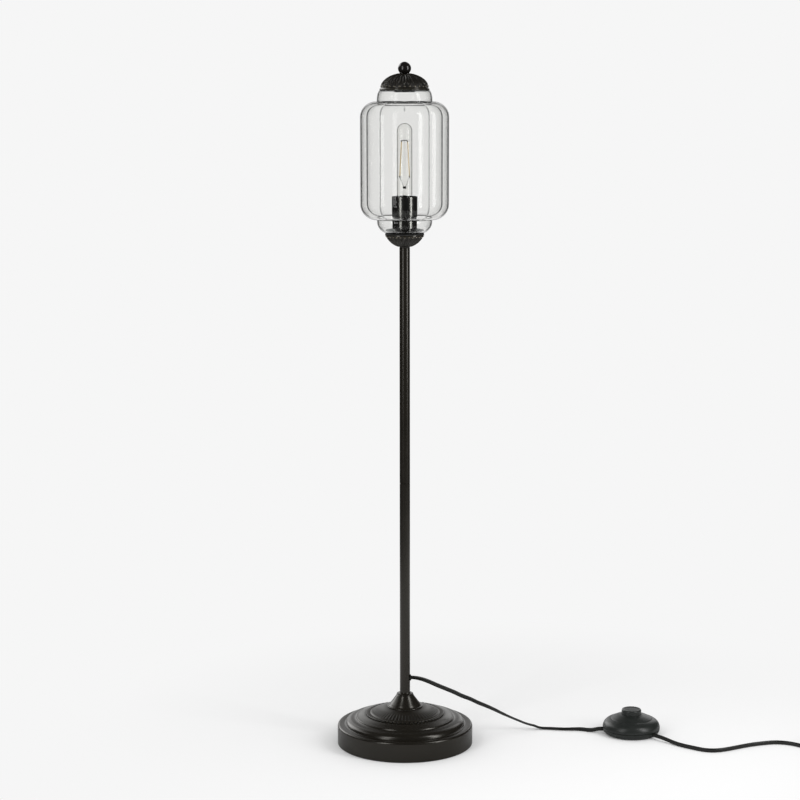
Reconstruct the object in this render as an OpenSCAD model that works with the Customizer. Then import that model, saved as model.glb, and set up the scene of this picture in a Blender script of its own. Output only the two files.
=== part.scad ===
// Lantern floor lamp: a round weighted base, a two-piece tube, and a lobed clear
// glass lantern with a lift-off cap over a tubular bulb. A flat lead leaves the
// tube near its foot and runs to a round foot switch, a coil and a plug.
// The origin is the centre of the base where it stands, with +Z up, in mm.

/* [Base] */
// Outer diameter of the base
base_d = 252; // [236:1:280]
// Height of the upright band round the base
band_h = 34.4; // [26:0.2:38]
// Height of the seat that carries the ribbed rosette
seat_h = 56.6; // [52:0.2:64]
// Distance from the base's edge to the foot of the rolled shoulder
shoulder_in = 13.5; // [11:0.5:16]
// Distance from the base's edge to the small step round the raised middle
step_in = 35; // [30:0.5:38]
// Wall of the pressed steel shell
shell_wall = 1.5; // [1:0.1:2]
// Gap between the shell's rim and the floor
rim_gap = 1; // [0.5:0.1:1.5]
// Thickness of the ring pad under the base
pad_t = 2; // [1.8:0.1:4]
// How far the ring pad's edge stays inside the cast weight's edge
pad_in = 4; // [2:0.5:10]
// Inner diameter of the ring pad
pad_hole_d = 130; // [110:1:150]
// Distance from the base's edge to the cast weight's edge
weight_in = 14; // [12:0.5:20]
// Thickness of the cast weight
weight_t = 15; // [12:0.5:20]

/* [Rosette and bell] */
// Outer diameter of the ribbed rosette
rosette_d = 145; // [138:1:156]
// Height of the rosette from its seat to its crown
rosette_h = 13.6; // [11:0.2:16]
// Height of the rosette's rim
rosette_rim_h = 0.9; // [0.6:0.1:2]
// How many ribs run round the rosette
rosette_ribs = 56; // [40:1:64]
// How far the ribs stand out
rib_relief = 1.1; // [0.6:0.1:1.6]
// Diameter at the foot of the bell
bell_d = 66.4; // [60:0.2:74]
// Height of the bell
bell_h = 27.3; // [24:0.1:34]
// Wall of the bell
bell_wall = 1.6; // [1.2:0.1:2]

/* [Tube] */
// Outer diameter of the tube
tube_d = 19; // [18:0.1:22]
// Wall of the tube
tube_wall = 1.2; // [1:0.1:1.5]
// Length of the lower tube
lower_tube_l = 424.2; // [350:0.2:500]
// Length of the upper tube
upper_tube_l = 433.4; // [350:0.2:500]
// Length of the sleeve that joins the two tubes
joint_sleeve_l = 50; // [30:1:80]
// Length of the threaded plugs in the tube's ends
tube_plug_l = 20; // [15:1:30]
// Outer diameter of the threaded stud and of the threaded pipe
thread_d = 9.8; // [9.4:0.1:10]
// Height of the cord's hole above the floor
cord_exit_h = 125; // [115:1:180]

/* [Cup] */
// Diameter at the rim of the cup
cup_d = 71; // [66:0.2:76]
// Height of the cup
cup_h = 24.2; // [20:0.1:30]
// Wall of the cup
cup_wall = 1.6; // [1.2:0.1:2]
// Thickness of the ring under the glass
glass_pad_t = 2; // [1:0.1:3]

/* [Glass] */
// How many lobes the glass has
lobes = 5; // [5:1:5]
// Radius of one lobe
lobe_r = 54.4; // [52:0.1:58]
// Distance from the lamp's axis to a lobe's own axis
lobe_offset = 26.9; // [24:0.1:30]
// Height of the lobes
lobe_h = 211.5; // [180:0.5:240]
// Radius of the rounding at the lobes' ends
lobe_round = 28; // [26:0.5:36]
// Radius of the round necks above and below the lobes
neck_r = 50; // [46:0.5:52]
// Height of the lower neck
low_neck_h = 25; // [22:0.5:30]
// Height of the upper neck
top_neck_h = 21.5; // [20:0.5:28]
// Wall of the glass
glass_wall = 2.5; // [2:0.1:3]
// Radius of the glass's top opening
glass_top_r = 20; // [19.2:0.1:22]
// Radius of the glass's lower opening
glass_low_r = 12; // [8:0.5:16]

/* [Lamp holder] */
// Outer radius of the upper sleeve
sleeve_r = 23.3; // [23:0.1:25]
// Height of the upper sleeve
sleeve_h = 41.9; // [38:0.1:46]
// Outer radius of the lower skirt
skirt_r = 22.3; // [22:0.1:22.8]
// Height of the lower skirt
skirt_h = 16.9; // [15:0.1:20]
// Wall of the sleeve and of the skirt
holder_wall = 1; // [0.6:0.1:1.2]
// Radius of the dished seat washer
washer_r = 35; // [30:0.5:37]
// Height of the dished seat washer
washer_h = 5.5; // [4.5:0.1:7]
// Height of the moulded core
core_h = 45; // [43:0.5:48]

/* [Bulb] */
// Radius of the bulb's glass
bulb_r = 13.9; // [13.6:0.1:15]
// Radius of the bulb's screw cap
bulb_cap_r = 13; // [13:0.1:13.2]
// Height of the bulb's screw cap
bulb_cap_h = 24; // [22:0.5:25]
// Length of the bulb from its contact to its tip
bulb_l = 168; // [150:1:180]
// Length of one filament
filament_l = 65; // [50:1:70]
// Radius of one filament
filament_r = 0.9; // [0.6:0.1:1.2]

/* [Cap] */
// Diameter at the rim of the cap
cap_d = 87; // [82:0.5:92]
// Height of the cap's dome
cap_h = 28; // [24:0.5:34]
// Wall of the cap's dome
cap_wall = 1.6; // [1.2:0.1:2]
// Diameter of the ball on the cap
ball_d = 23.6; // [20:0.2:28]
// Radius of the boss that drops into the glass's top opening
boss_r = 18.4; // [16:0.1:18.8]
// Height of the boss
boss_h = 6; // [4:0.5:8]
// Thickness of the ring between the cap and the glass
cap_pad_t = 1; // [0.6:0.1:2]
// How far the cap lifts in the model
cap_lift = 60; // [20:5:120]

/* [Cord] */
// Diameter of the cord's solid, which is the flat lead's width
cord_d = 7.4; // [6:0.1:7.4]
// Radius of the coil's outermost turn
coil_r = 49; // [46:0.5:52]
// Step from one turn of the coil to the next
coil_step = 8; // [7.9:0.1:8.6]

/* [Foot switch] */
// Diameter of the foot switch
switch_d = 108; // [100:1:112]
// Height at which the switch's two shells part
switch_part_h = 11; // [10:0.5:13]
// Height of the foot switch's cover
switch_h = 37.5; // [35:0.5:42]
// Radius of the button
button_r = 18.5; // [16:0.1:20]
// Height of the button's top above the floor
button_top_h = 47; // [46:0.5:52]
// How far the button travels
button_travel = 3; // [2:0.1:4]
// Wall of the switch's shells
switch_wall = 2; // [1.6:0.1:2.4]

/* [Plug] */
// Length of the plug's body
plug_l = 36; // [32:1:42]
// Width of the plug's body at its face
plug_w = 35; // [33:1:38]
// Thickness of the plug's body
plug_t = 13.6; // [12:0.2:16]
// Distance between the pins
pin_pitch = 18.6; // [17.5:0.1:19.2]

/* [Fits] */
// Radial clearance of a part that runs or passes through another
run_gap = 0.1; // [0.05:0.05:0.1]
// Radial clearance of a loose or soft neighbour
loose_gap = 0.3; // [0.2:0.05:0.4]
// Gap under a part that lifts, turns or slides off its seat
seat_gap = 0.1; // [0.05:0.05:0.2]

/* [Hidden] */
$fn = 96;

// Heights of the stack, each from the piece below it
rosette_top = seat_h + rosette_h;
bell_top = rosette_top + bell_h;
joint_z = rosette_top + lower_tube_l;
tube_top = joint_z + upper_tube_l;
cup_top = tube_top + cup_h;
glass_z0 = cup_top + glass_pad_t;
lobe_z0 = glass_z0 + low_neck_h;
lobe_z1 = lobe_z0 + lobe_h;
glass_z1 = lobe_z1 + top_neck_h;
cap_z = glass_z1 + cap_pad_t + seat_gap;
plate_t = 2;
ball_drop = 3.7;
ball_z = cap_z + cap_h + ball_d / 2 - ball_drop;
washer_z = glass_z0 + glass_wall;
skirt_z = washer_z + washer_h;
skirt_top = skirt_z + skirt_h;
nut_t = 5;
core_z = skirt_z + holder_wall + nut_t;
contact_z = core_z + 13;
contact_t = 3;
bulb_z = contact_z + contact_t + seat_gap;
bulb_tip_z = bulb_z + bulb_l;

// Radii that follow from the sizes above
thread_r = thread_d / 2;
bore_r = thread_r + run_gap;
tube_r = tube_d / 2;
tube_in_r = tube_r - tube_wall;
tube_fit_r = tube_in_r - run_gap;
cord_r = cord_d / 2;
pipe_in_r = cord_r + run_gap;
core_r = skirt_r - holder_wall - loose_gap;
shell_in_r = bulb_cap_r + run_gap;
shell_out_r = shell_in_r + 0.7;
rosette_r = rosette_d / 2;
bell_r = bell_d / 2;
switch_r = switch_d / 2;
button_hole_r = button_r + run_gap;

// Points of a round stretch, and of a quadratic curve
function arc(cx, cy, r, a0, a1, n) =
    [for (i = [0:n]) let (a = a0 + (a1 - a0) * i / n) [cx + r * cos(a), cy + r * sin(a)]];
function bend(a, b, c, n) =
    [for (i = [0:n]) let (t = i / n) (1 - t) * (1 - t) * a + 2 * t * (1 - t) * b + t * t * c];
// An outline moved inwards along the radius, for a thin spun or pressed wall
function inwards(points, dr, dz) = [for (p = points) [max(p[0] - dr, 0.01), p[1] - dz]];

// A closed ring from rows of n points each, the last row joined back to the first
module ring_mesh(points, n) {
    rows = len(points) / n;
    faces = [for (j = [0:rows - 1]) each [for (i = [0:n - 1])
        let (
            k = (i + 1) % n,
            m = (j + 1) % rows
        )
        each [[j * n + i, m * n + i, m * n + k], [j * n + i, m * n + k, j * n + k]]]];
    polyhedron(points = points, faces = faces, convexity = 8);
}

// ---- Base ----

base_r = base_d / 2;
shoulder_r = base_r - shoulder_in;
step_r = base_r - step_in;
weight_r = base_r - weight_in;
pad_r = weight_r - pad_in;
lip_r = base_r - 4;
lip_h = band_h + 3.3;
step_h = seat_h - 4.8;
shell_line = concat(
    [[base_r, rim_gap], [base_r, band_h - 1]],
    bend([base_r, band_h - 1], [base_r, lip_h], [lip_r - 2, lip_h], 5),
    bend([shoulder_r + 1.5, lip_h], [shoulder_r - 1, lip_h], [shoulder_r - 1.5, lip_h + 1.2], 3),
    bend([shoulder_r - 1.5, lip_h + 1.2], [shoulder_r - 4, step_h - 5.4], [step_r + 9, step_h - 4.2], 6),
    bend([step_r + 9, step_h - 4.2], [step_r + 2, step_h - 3.2], [step_r + 0.6, step_h - 2.4], 3),
    bend([step_r + 0.4, step_h - 1.2], [step_r, step_h], [step_r - 1.5, step_h + 0.3], 3),
    [[rosette_r + 3, seat_h - 0.3], [rosette_r + 1, seat_h], [bore_r, seat_h]]
);

module base_shell() {
    inner = concat(
        [[base_r - shell_wall, rim_gap - 1], [base_r - shell_wall, band_h - 2]],
        [[lip_r - 3, lip_h - shell_wall], [shoulder_r, lip_h - shell_wall]],
        [[shoulder_r - 5, lip_h + 1.5], [step_r + 6, step_h - 4.2 - shell_wall]],
        [[step_r - 2, step_h - shell_wall - 2.4], [rosette_r, seat_h - shell_wall]],
        [[0, seat_h - shell_wall], [0, rim_gap - 1]]
    );
    color("#2b2724")
    difference() {
        rotate_extrude() polygon(concat(shell_line, [[bore_r, rim_gap]]));
        rotate_extrude() polygon(inner);
    }
}

weight_boss_r = 16;
weight_well_r = 22;
nut_well_h = 9;
well_top = pad_t + nut_well_h;

module base_weight() {
    color("#3a3a3a")
    difference() {
        union() {
            translate([0, 0, pad_t]) cylinder(r = weight_r, h = weight_t);
            translate([0, 0, pad_t]) cylinder(r = weight_boss_r + 8, h = weight_t + 10);
            translate([0, 0, pad_t]) cylinder(r = weight_boss_r, h = seat_h - shell_wall - pad_t);
        }
        cylinder(r = bore_r, h = seat_h);
        translate([0, 0, pad_t - 1]) cylinder(r = weight_well_r, h = nut_well_h + 1);
    }
}

module base_pad() {
    color("#262626")
    difference() {
        cylinder(r = pad_r, h = pad_t);
        translate([0, 0, -1]) cylinder(d = pad_hole_d, h = pad_t + 2);
    }
}

base_washer_t = 1.5;
base_nut_t = 5;

module base_washer() {
    color("#9a9a9a")
    translate([0, 0, well_top - base_washer_t])
    difference() {
        cylinder(r = 15, h = base_washer_t);
        translate([0, 0, -1]) cylinder(r = bore_r, h = base_washer_t + 2);
    }
}

module hex_nut(t) {
    difference() {
        cylinder(r = 9.2, h = t, $fn = 6);
        translate([0, 0, -1]) cylinder(r = bore_r, h = t + 2);
    }
}

module base_nut() {
    color("#9a9a9a")
    translate([0, 0, well_top - base_washer_t - base_nut_t]) hex_nut(base_nut_t);
}

module base_stud() {
    stud_z = well_top - base_washer_t - base_nut_t - 1;
    color("#8f8f8f")
    translate([0, 0, stud_z]) cylinder(r = thread_r, h = rosette_top + tube_plug_l - stud_z);
}

// ---- Rosette and bell ----

// The rosette is a domed ring whose crown is cut by ribs, and whose rim is scalloped
samples = rosette_ribs * 4;
crown_r = bell_r + 0.8;
stations = [0, 0.02, 0.25, 0.5, 0.75, 0.94, 1];
function rib_wave(i) = 0.5 - 0.5 * cos(360 * i * rosette_ribs / samples);
function dome_z(u) = rosette_rim_h + (rosette_h - rosette_rim_h) * (0.35 * u + 0.65 * sin(90 * u));
function rib_point(u, i) =
    let (
        r = rosette_r + (crown_r - rosette_r) * u - (u < 0.03 ? 1.4 * (1 - rib_wave(i)) : 0),
        a = 360 * i / samples,
        top = u == 0 ? 0 : dome_z(u) - (u > 0.95 ? 0 : rib_relief * (1 - rib_wave(i)) * (1 - 0.5 * u))
    )
    [r * cos(a), r * sin(a), seat_h + max(top, 0)];

module rosette() {
    ring = [for (u = stations) each [for (i = [0:samples - 1]) rib_point(u, i)]];
    bore = [for (z = [rosette_top, seat_h]) each [for (i = [0:samples - 1])
        let (a = 360 * i / samples) [bore_r * cos(a), bore_r * sin(a), z]]];
    color("#2b2724") ring_mesh(concat(ring, bore), samples);
}

bell_line = concat(
    [[bell_r, 0], [bell_r, 1]],
    bend([bell_r - 0.3, 1.8], [bell_r - 3, 3.2], [bell_r - 5.2, 5.6], 4),
    bend([bell_r - 5.2, 5.6], [tube_r + 10.4, bell_h - 12], [tube_r + 6.1, bell_h - 4.4], 6),
    [[tube_r + 5.4, bell_h - 3.6], [tube_r + 5.7, bell_h - 3], [tube_r + 5.1, bell_h - 2.4]],
    bend([tube_r + 3.4, bell_h - 2], [tube_r + 2.2, bell_h - 1.4], [tube_r + 1.4, bell_h], 3)
);

module bell() {
    inner = concat([[bell_r - bell_wall, -1]], inwards([for (i = [1:9]) bell_line[i]], bell_wall, bell_wall));
    color("#2b2724")
    translate([0, 0, rosette_top])
    difference() {
        rotate_extrude() polygon(concat(bell_line, [[tube_r + loose_gap, bell_h], [tube_r + loose_gap, 0]]));
        rotate_extrude() polygon(concat(inner, [[0, inner[9][1]], [0, -1]]));
    }
}

// ---- Tube ----

bushing_r = cord_r + run_gap + 1.1;
bushing_out = 2;
cord_out_x = tube_r + bushing_out;

module tube(z0, l) {
    translate([0, 0, z0])
    difference() {
        cylinder(r = tube_r, h = l);
        translate([0, 0, -1]) cylinder(r = tube_in_r, h = l + 2);
    }
}

module lower_tube() {
    color("#2b2724")
    difference() {
        tube(rosette_top, lower_tube_l);
        translate([tube_r - 4, 0, cord_exit_h]) rotate([0, 90, 0]) cylinder(r = bushing_r + run_gap, h = 8);
    }
}

module upper_tube() {
    color("#2b2724") tube(joint_z, upper_tube_l);
}

module joint_sleeve() {
    color("#777777")
    translate([0, 0, joint_z - joint_sleeve_l / 2])
    difference() {
        cylinder(r = tube_fit_r, h = joint_sleeve_l);
        translate([0, 0, -1]) cylinder(r = tube_fit_r - 2, h = joint_sleeve_l + 2);
    }
}

module tube_plug(z0) {
    translate([0, 0, z0])
    difference() {
        cylinder(r = tube_fit_r, h = tube_plug_l);
        translate([0, 0, -1]) cylinder(r = bore_r, h = tube_plug_l + 2);
    }
}

module tube_foot_plug() {
    color("#777777") tube_plug(rosette_top);
}

module tube_head_plug() {
    color("#777777") tube_plug(tube_top - tube_plug_l);
}

module cord_bushing() {
    color("#1d1d1d")
    translate([0, 0, cord_exit_h])
    rotate([0, 90, 0])
    difference() {
        union() {
            translate([0, 0, tube_in_r - 1]) cylinder(r = bushing_r, h = cord_out_x - tube_in_r + 1);
            translate([0, 0, tube_r + 0.1]) cylinder(r = bushing_r + 0.9, h = bushing_out - 0.6);
        }
        cylinder(r = cord_r + run_gap, h = cord_out_x + 1);
    }
}

module head_pipe() {
    pipe_z = tube_top - tube_plug_l;
    color("#8f8f8f")
    translate([0, 0, pipe_z])
    difference() {
        cylinder(r = thread_r, h = core_z - pipe_z);
        translate([0, 0, -1]) cylinder(r = pipe_in_r, h = core_z - pipe_z + 2);
    }
}

// ---- Cup and glass ----

cup_r = cup_d / 2;
cup_ball_r = (cup_r * cup_r + cup_h * cup_h) / (2 * cup_h);
cup_tip = asin((tube_r + 1) / cup_ball_r);
cup_edge = asin(min(cup_r / cup_ball_r, 1));

module cup() {
    centre = cup_ball_r;
    outer = [for (i = [0:12]) let (a = cup_tip + (cup_edge - cup_tip) * i / 12)
        [cup_ball_r * sin(a), centre - cup_ball_r * cos(a)]];
    color("#2b2724")
    translate([0, 0, tube_top])
    difference() {
        rotate_extrude() polygon(concat([[bore_r, 0], [tube_r + 1, 0]], outer, [[bore_r, cup_h]]));
        rotate_extrude() polygon(concat(
            [[thread_r + 6, cup_h / 3], [tube_r + 6, cup_h / 3]],
            [[cup_r - cup_wall - 3.4, cup_h * 0.7], [cup_r - cup_wall - 0.8, cup_h + 0.01]],
            [[thread_r + 6, cup_h + 0.01]]
        ));
    }
}

module glass_pad() {
    color("#1d1d1d")
    translate([0, 0, cup_top])
    difference() {
        cylinder(r = cup_r - 0.5, h = glass_pad_t);
        translate([0, 0, -1]) cylinder(r = cup_r - 12, h = glass_pad_t + 2);
    }
}

neck_round = 19;
neck_in = 8;
low_round = 21;
glass_samples = lobes * 16;
neck_steps = [0, 22.5, 45, 67.5, 90];
lobe_steps = [10, 28, 48, 69, 90];

// Rows of the glass's wall, moved in by d: height, neck radius and lobe radius
function low_rows(d) = concat(
    [for (t = neck_steps)
        [glass_z0 + d + (low_round - d) * (1 - cos(t)), neck_r - low_round + (low_round - d) * sin(t), 0]],
    [[lobe_z0 + d, neck_r - d, 0]],
    [for (u = lobe_steps)
        [lobe_z0 + d + (lobe_round - d) * (1 - cos(u)), neck_r - d, lobe_r - lobe_round + (lobe_round - d) * sin(u)]]
);
function high_rows(d) = concat(
    [for (t = neck_steps)
        [glass_z1 - d - (neck_round - d) * (1 - cos(t)), neck_r - neck_in + (neck_in - d) * sin(t), 0]],
    [[lobe_z1 - d, neck_r - d, 0]],
    [for (u = lobe_steps)
        [lobe_z1 - d - (lobe_round - d) * (1 - cos(u)), neck_r - d, lobe_r - lobe_round + (lobe_round - d) * sin(u)]]
);
function backwards(v) = [for (i = [len(v) - 1:-1:0]) v[i]];
function wall_rows(d) = concat(
    [[glass_z0 + d, glass_low_r, 0]], low_rows(d), backwards(high_rows(d)), [[glass_z1 - d, glass_top_r, 0]]
);

// How far the glass reaches from the lamp's axis, phi degrees from the middle of a lobe
function reach(row, phi) =
    row[2] == 0 ? row[1]
    : max(row[1], lobe_offset * cos(phi) + sqrt(row[2] * row[2] - pow(lobe_offset * sin(phi), 2)));
function glass_ring(row) = [for (i = [0:glass_samples - 1])
    let (
        a = 360 * i / glass_samples,
        half = 180 / lobes,
        r = reach(row, (a + half) % (2 * half) - half)
    )
    [r * cos(a - 90), r * sin(a - 90), row[0]]];

module glass() {
    color("#dfe6e6", 0.35)
    ring_mesh(
        [for (row = concat(wall_rows(0), backwards(wall_rows(glass_wall)))) each glass_ring(row)],
        glass_samples
    );
}

// ---- Lamp holder ----

module seat_washer() {
    color("#242220")
    translate([0, 0, washer_z])
    rotate_extrude()
    polygon([
        [bore_r, 0], [washer_r - 8, 0], [washer_r, 1.5], [washer_r, 3],
        [skirt_r + 2, washer_h - 0.6], [skirt_r + 0.6, washer_h], [bore_r, washer_h]
    ]);
}

module holder_skirt() {
    color("#2a2a2a")
    translate([0, 0, skirt_z])
    rotate_extrude()
    polygon([
        [bore_r, 0], [skirt_r - 0.6, 0], [skirt_r, 0.6], [skirt_r, skirt_h - 0.8], [skirt_r - 0.8, skirt_h],
        [skirt_r - holder_wall, skirt_h], [skirt_r - holder_wall, holder_wall], [bore_r, holder_wall]
    ]);
}

module holder_nut() {
    color("#9a9a9a") translate([0, 0, skirt_z + holder_wall]) hex_nut(nut_t);
}

module holder_core() {
    core_wall_r = shell_out_r + loose_gap;
    color("#e8e4da")
    translate([0, 0, core_z])
    difference() {
        cylinder(r = core_r, h = core_h);
        translate([0, 0, contact_z - core_z]) cylinder(r = core_wall_r, h = core_h);
    }
}

module thread_shell() {
    z0 = contact_z + 1;
    h = core_z + core_h - 1 - z0;
    color("#b08d57")
    translate([0, 0, z0])
    difference() {
        cylinder(r = shell_out_r, h = h);
        translate([0, 0, -1]) cylinder(r = shell_in_r, h = h + 2);
    }
}

module centre_contact() {
    color("#b08d57") translate([0, 0, contact_z]) cylinder(r = 5, h = contact_t);
}

module holder_sleeve() {
    notch = 1.4;
    color("#2a2a2a")
    translate([0, 0, skirt_top])
    rotate_extrude()
    polygon([
        [core_r + loose_gap, 0], [skirt_r - 0.6, 0], [skirt_r - 0.6, notch], [sleeve_r - 0.5, notch],
        [sleeve_r, notch + 0.6], [sleeve_r, sleeve_h - 0.4], [sleeve_r - 0.3, sleeve_h],
        [sleeve_r - holder_wall, sleeve_h], [sleeve_r - holder_wall, notch + 1.2], [core_r + loose_gap, notch + 1.2]
    ]);
}

// ---- Bulb ----

bulb_wall = 1;
tip_t = 1;
insulator_t = 2.2;
bulb_cap_z = bulb_z + tip_t + insulator_t;
bulb_neck_z = bulb_cap_z + bulb_cap_h - 1;
bulb_neck_r = bulb_cap_r - 0.8;
stem_top_z = bulb_neck_z + 28;
filament_z = stem_top_z + 17;
filament_low_x = 8.7;
filament_top_x = 5.6;
filament_lean = asin((filament_low_x - filament_top_x) / filament_l);
filament_top_z = filament_z + filament_l * cos(filament_lean);
wire_r = 0.35;

function bulb_line(d) = concat(
    [[bulb_neck_r - d, bulb_neck_z]],
    bend([bulb_neck_r - d, bulb_neck_z + 2.5], [bulb_neck_r + 0.4 - d, bulb_neck_z + 6], [bulb_r - d, bulb_neck_z + 9], 4),
    arc(0, bulb_tip_z - bulb_r, bulb_r - d, 0, 90, 10)
);

module bulb_glass() {
    color("#eef2f2", 0.3)
    difference() {
        rotate_extrude() polygon(concat(bulb_line(0), [[0, bulb_neck_z]]));
        rotate_extrude() polygon(concat([[bulb_neck_r - bulb_wall, bulb_neck_z - 1]], bulb_line(bulb_wall), [[0, bulb_neck_z - 1]]));
    }
}

module bulb_stem() {
    foot_r = bulb_neck_r - bulb_wall - run_gap;
    color("#eef2f2", 0.4)
    rotate_extrude()
    polygon(concat(
        [[0, bulb_neck_z], [foot_r, bulb_neck_z], [foot_r, bulb_neck_z + 1.2]],
        bend([foot_r, bulb_neck_z + 1.2], [3.4, bulb_neck_z + 3], [3.2, bulb_neck_z + 12], 5),
        [[2.6, stem_top_z - 3], [1.2, stem_top_z], [1.2, filament_top_z - 3], [0.8, filament_top_z - 1.4], [0, filament_top_z - 1.4]]
    ));
}

module filaments() {
    color("#e0b060")
    for (side = [-1, 1])
        translate([side * filament_low_x, 0, filament_z])
        rotate([0, -side * filament_lean, 0])
        cylinder(r = filament_r, h = filament_l, $fn = 24);
}

// A wire between two points
module wire(a, b) {
    d = b - a;
    l = norm(d);
    translate(a)
    rotate([0, acos(d[2] / l), atan2(d[1], d[0])])
    cylinder(r = wire_r, h = l, $fn = 16);
}

module filament_wires() {
    bead_z = stem_top_z - 2;
    color("#8c8c8c")
    union() {
        for (side = [-1, 1])
            wire([side * 1, 0, bead_z], [side * filament_low_x, 0, filament_z - 0.1]);
        wire([-filament_top_x, 0, filament_top_z + 0.5], [filament_top_x, 0, filament_top_z + 0.5]);
        for (side = [-1, 1])
            wire([side * filament_top_x, 0, filament_top_z + 0.1], [side * filament_top_x, 0, filament_top_z + 0.9]);
        wire([0, 0, filament_top_z - 1.3], [0, 0, filament_top_z + 1.6]);
    }
}

module bulb_cap() {
    color("#b9b9b9")
    translate([0, 0, bulb_cap_z])
    difference() {
        cylinder(r = bulb_cap_r, h = bulb_cap_h);
        translate([0, 0, 0.6]) cylinder(r = bulb_cap_r - 0.6, h = bulb_cap_h);
        translate([0, 0, -1]) cylinder(r = 6, h = 3);
    }
}

module bulb_insulator() {
    color("#15181c")
    translate([0, 0, bulb_z + tip_t])
    cylinder(r1 = 6.5, r2 = bulb_cap_r - 0.5, h = insulator_t);
}

module bulb_contact() {
    color("#b9b9b9") translate([0, 0, bulb_z]) cylinder(r = 4.6, h = tip_t);
}

// ---- Cap ----

stud_r = 3;

module cap_dome() {
    outer = [for (i = [0:16]) let (a = 90 * i / 16)
        [cap_d / 2 * cos(a), 1.2 + (cap_h - 1.2) * sin(a)]];
    inner = [for (i = [0:12]) let (a = 90 * i / 12)
        [(cap_d / 2 - cap_wall) * cos(a), plate_t + (cap_h - cap_wall - plate_t) * sin(a)]];
    color("#2b2724")
    translate([0, 0, cap_z])
    difference() {
        rotate_extrude() polygon(concat([[0, 0], [cap_d / 2, 0]], outer));
        rotate_extrude() polygon(concat([[0, -1], [cap_d / 2 - cap_wall, -1]], inner));
        cylinder(r = stud_r + run_gap, h = cap_h + 1);
    }
}

module cap_plate() {
    color("#2b2724")
    translate([0, 0, cap_z])
    difference() {
        cylinder(r = cap_d / 2 - cap_wall - run_gap, h = plate_t);
        translate([0, 0, -1]) cylinder(r = stud_r + run_gap, h = plate_t + 2);
    }
}

module cap_boss() {
    color("#242220")
    translate([0, 0, cap_z - boss_h])
    difference() {
        cylinder(r = boss_r, h = boss_h);
        translate([0, 0, 2]) cylinder(r = stud_r + run_gap, h = boss_h);
    }
}

module cap_stud() {
    z0 = cap_z - boss_h + 2;
    color("#8f8f8f") translate([0, 0, z0]) cylinder(r = stud_r, h = ball_z - z0);
}

module ball_finial() {
    flat_z = cap_z + cap_h;
    color("#1f1d1b")
    difference() {
        translate([0, 0, ball_z]) sphere(d = ball_d);
        translate([0, 0, flat_z - ball_d]) cylinder(r = ball_d, h = ball_d);
        translate([0, 0, flat_z - 1]) cylinder(r = stud_r + run_gap, h = ball_z - flat_z + 1);
    }
}

module cap_pad() {
    color("#1d1d1d")
    translate([0, 0, glass_z1])
    difference() {
        cylinder(r = 30, h = cap_pad_t);
        translate([0, 0, -1]) cylinder(r = glass_top_r + 2, h = cap_pad_t + 2);
    }
}

// ---- Cord ----

// The stretch inside the tube: straight down, round a tight bend and out at the bushing
module inner_cord() {
    bend_r = 6;
    color("#1b1b1b")
    union() {
        translate([0, 0, cord_exit_h + bend_r]) cylinder(r = cord_r, h = core_z - cord_exit_h - bend_r, $fn = 48);
        translate([bend_r, 0, cord_exit_h + bend_r])
        rotate([90, 0, 180])
        rotate_extrude(angle = -90, $fn = 48) translate([bend_r, 0]) circle(r = cord_r, $fn = 48);
        translate([bend_r, 0, cord_exit_h]) rotate([0, 90, 0]) cylinder(r = cord_r, h = cord_out_x - bend_r, $fn = 48);
    }
}

floor_z = cord_r + 0.1;
switch_x = 430;
switch_y = 56;
slot_z = 8;
entry_y = switch_y;
exit_turn = -46;
clamp_in_x = switch_x - 38;
tail_start_r = 42;
function on_exit(r) = [switch_x + r * cos(exit_turn), switch_y + r * sin(exit_turn), slot_z];

// Where the lead runs from the bushing to the foot switch
lead_route = [
    [cord_out_x, 0, cord_exit_h], [15, 0, cord_exit_h], [23, 1, 123.6], [34, 4, 120], [48, 9, 113], [62, 15, 105],
    [77, 21, 97], [92, 27, 89], [107, 33, 80], [123, 39, 72], [138, 45, 63], [153, 51, 55],
    [169, 57, 46], [184, 62, 37], [200, 67, 28], [216, 71, 20], [231, 74, 13], [247, 76, 8],
    [262, 77, 5], [277, 75, floor_z], [292, 72, floor_z], [307, 70, floor_z], [322, 69, floor_z],
    [336, 67, floor_z], [348, 62, 4.6], [360, 58, 6.6], [371, entry_y, slot_z],
    [clamp_in_x, entry_y, slot_z]
];

// The coil: spirals in on the floor, climbs a layer over half a turn, and spirals out above
coil_x = 803;
coil_y = -30;
coil_from = -130;
coil_sweep = 1575;
coil_rise = cord_d + 0.6;
coil_rings = coil_sweep / 15;
function smooth(t) = let (c = min(max(t, 0), 1)) c * c * (3 - 2 * c);
function coil_point(s) =
    let (
        r = coil_r - coil_step * min(s, coil_sweep - s) / 360,
        a = coil_from + s,
        z = floor_z + coil_rise * smooth((s - coil_sweep / 2 + 90) / 180)
    )
    [coil_x + r * cos(a), coil_y + r * sin(a), z];
function heading(a) = [-sin(a), cos(a), 0];
coil_in = coil_point(0) - cord_d * heading(coil_from);
coil_out = coil_point(coil_sweep) + cord_d * heading(coil_from + coil_sweep);
coil_route = concat([coil_in], [for (i = [0:coil_rings]) coil_point(15 * i)], [coil_out]);

// Least gap between turns, from the points a third of a turn or more apart
coil_gap = min([for (i = [0:coil_rings - 8]) min([for (j = [i + 8:coil_rings])
    norm(coil_point(15 * i) - coil_point(15 * j))])]) - cord_d;
echo(coil_gap = coil_gap);

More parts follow.
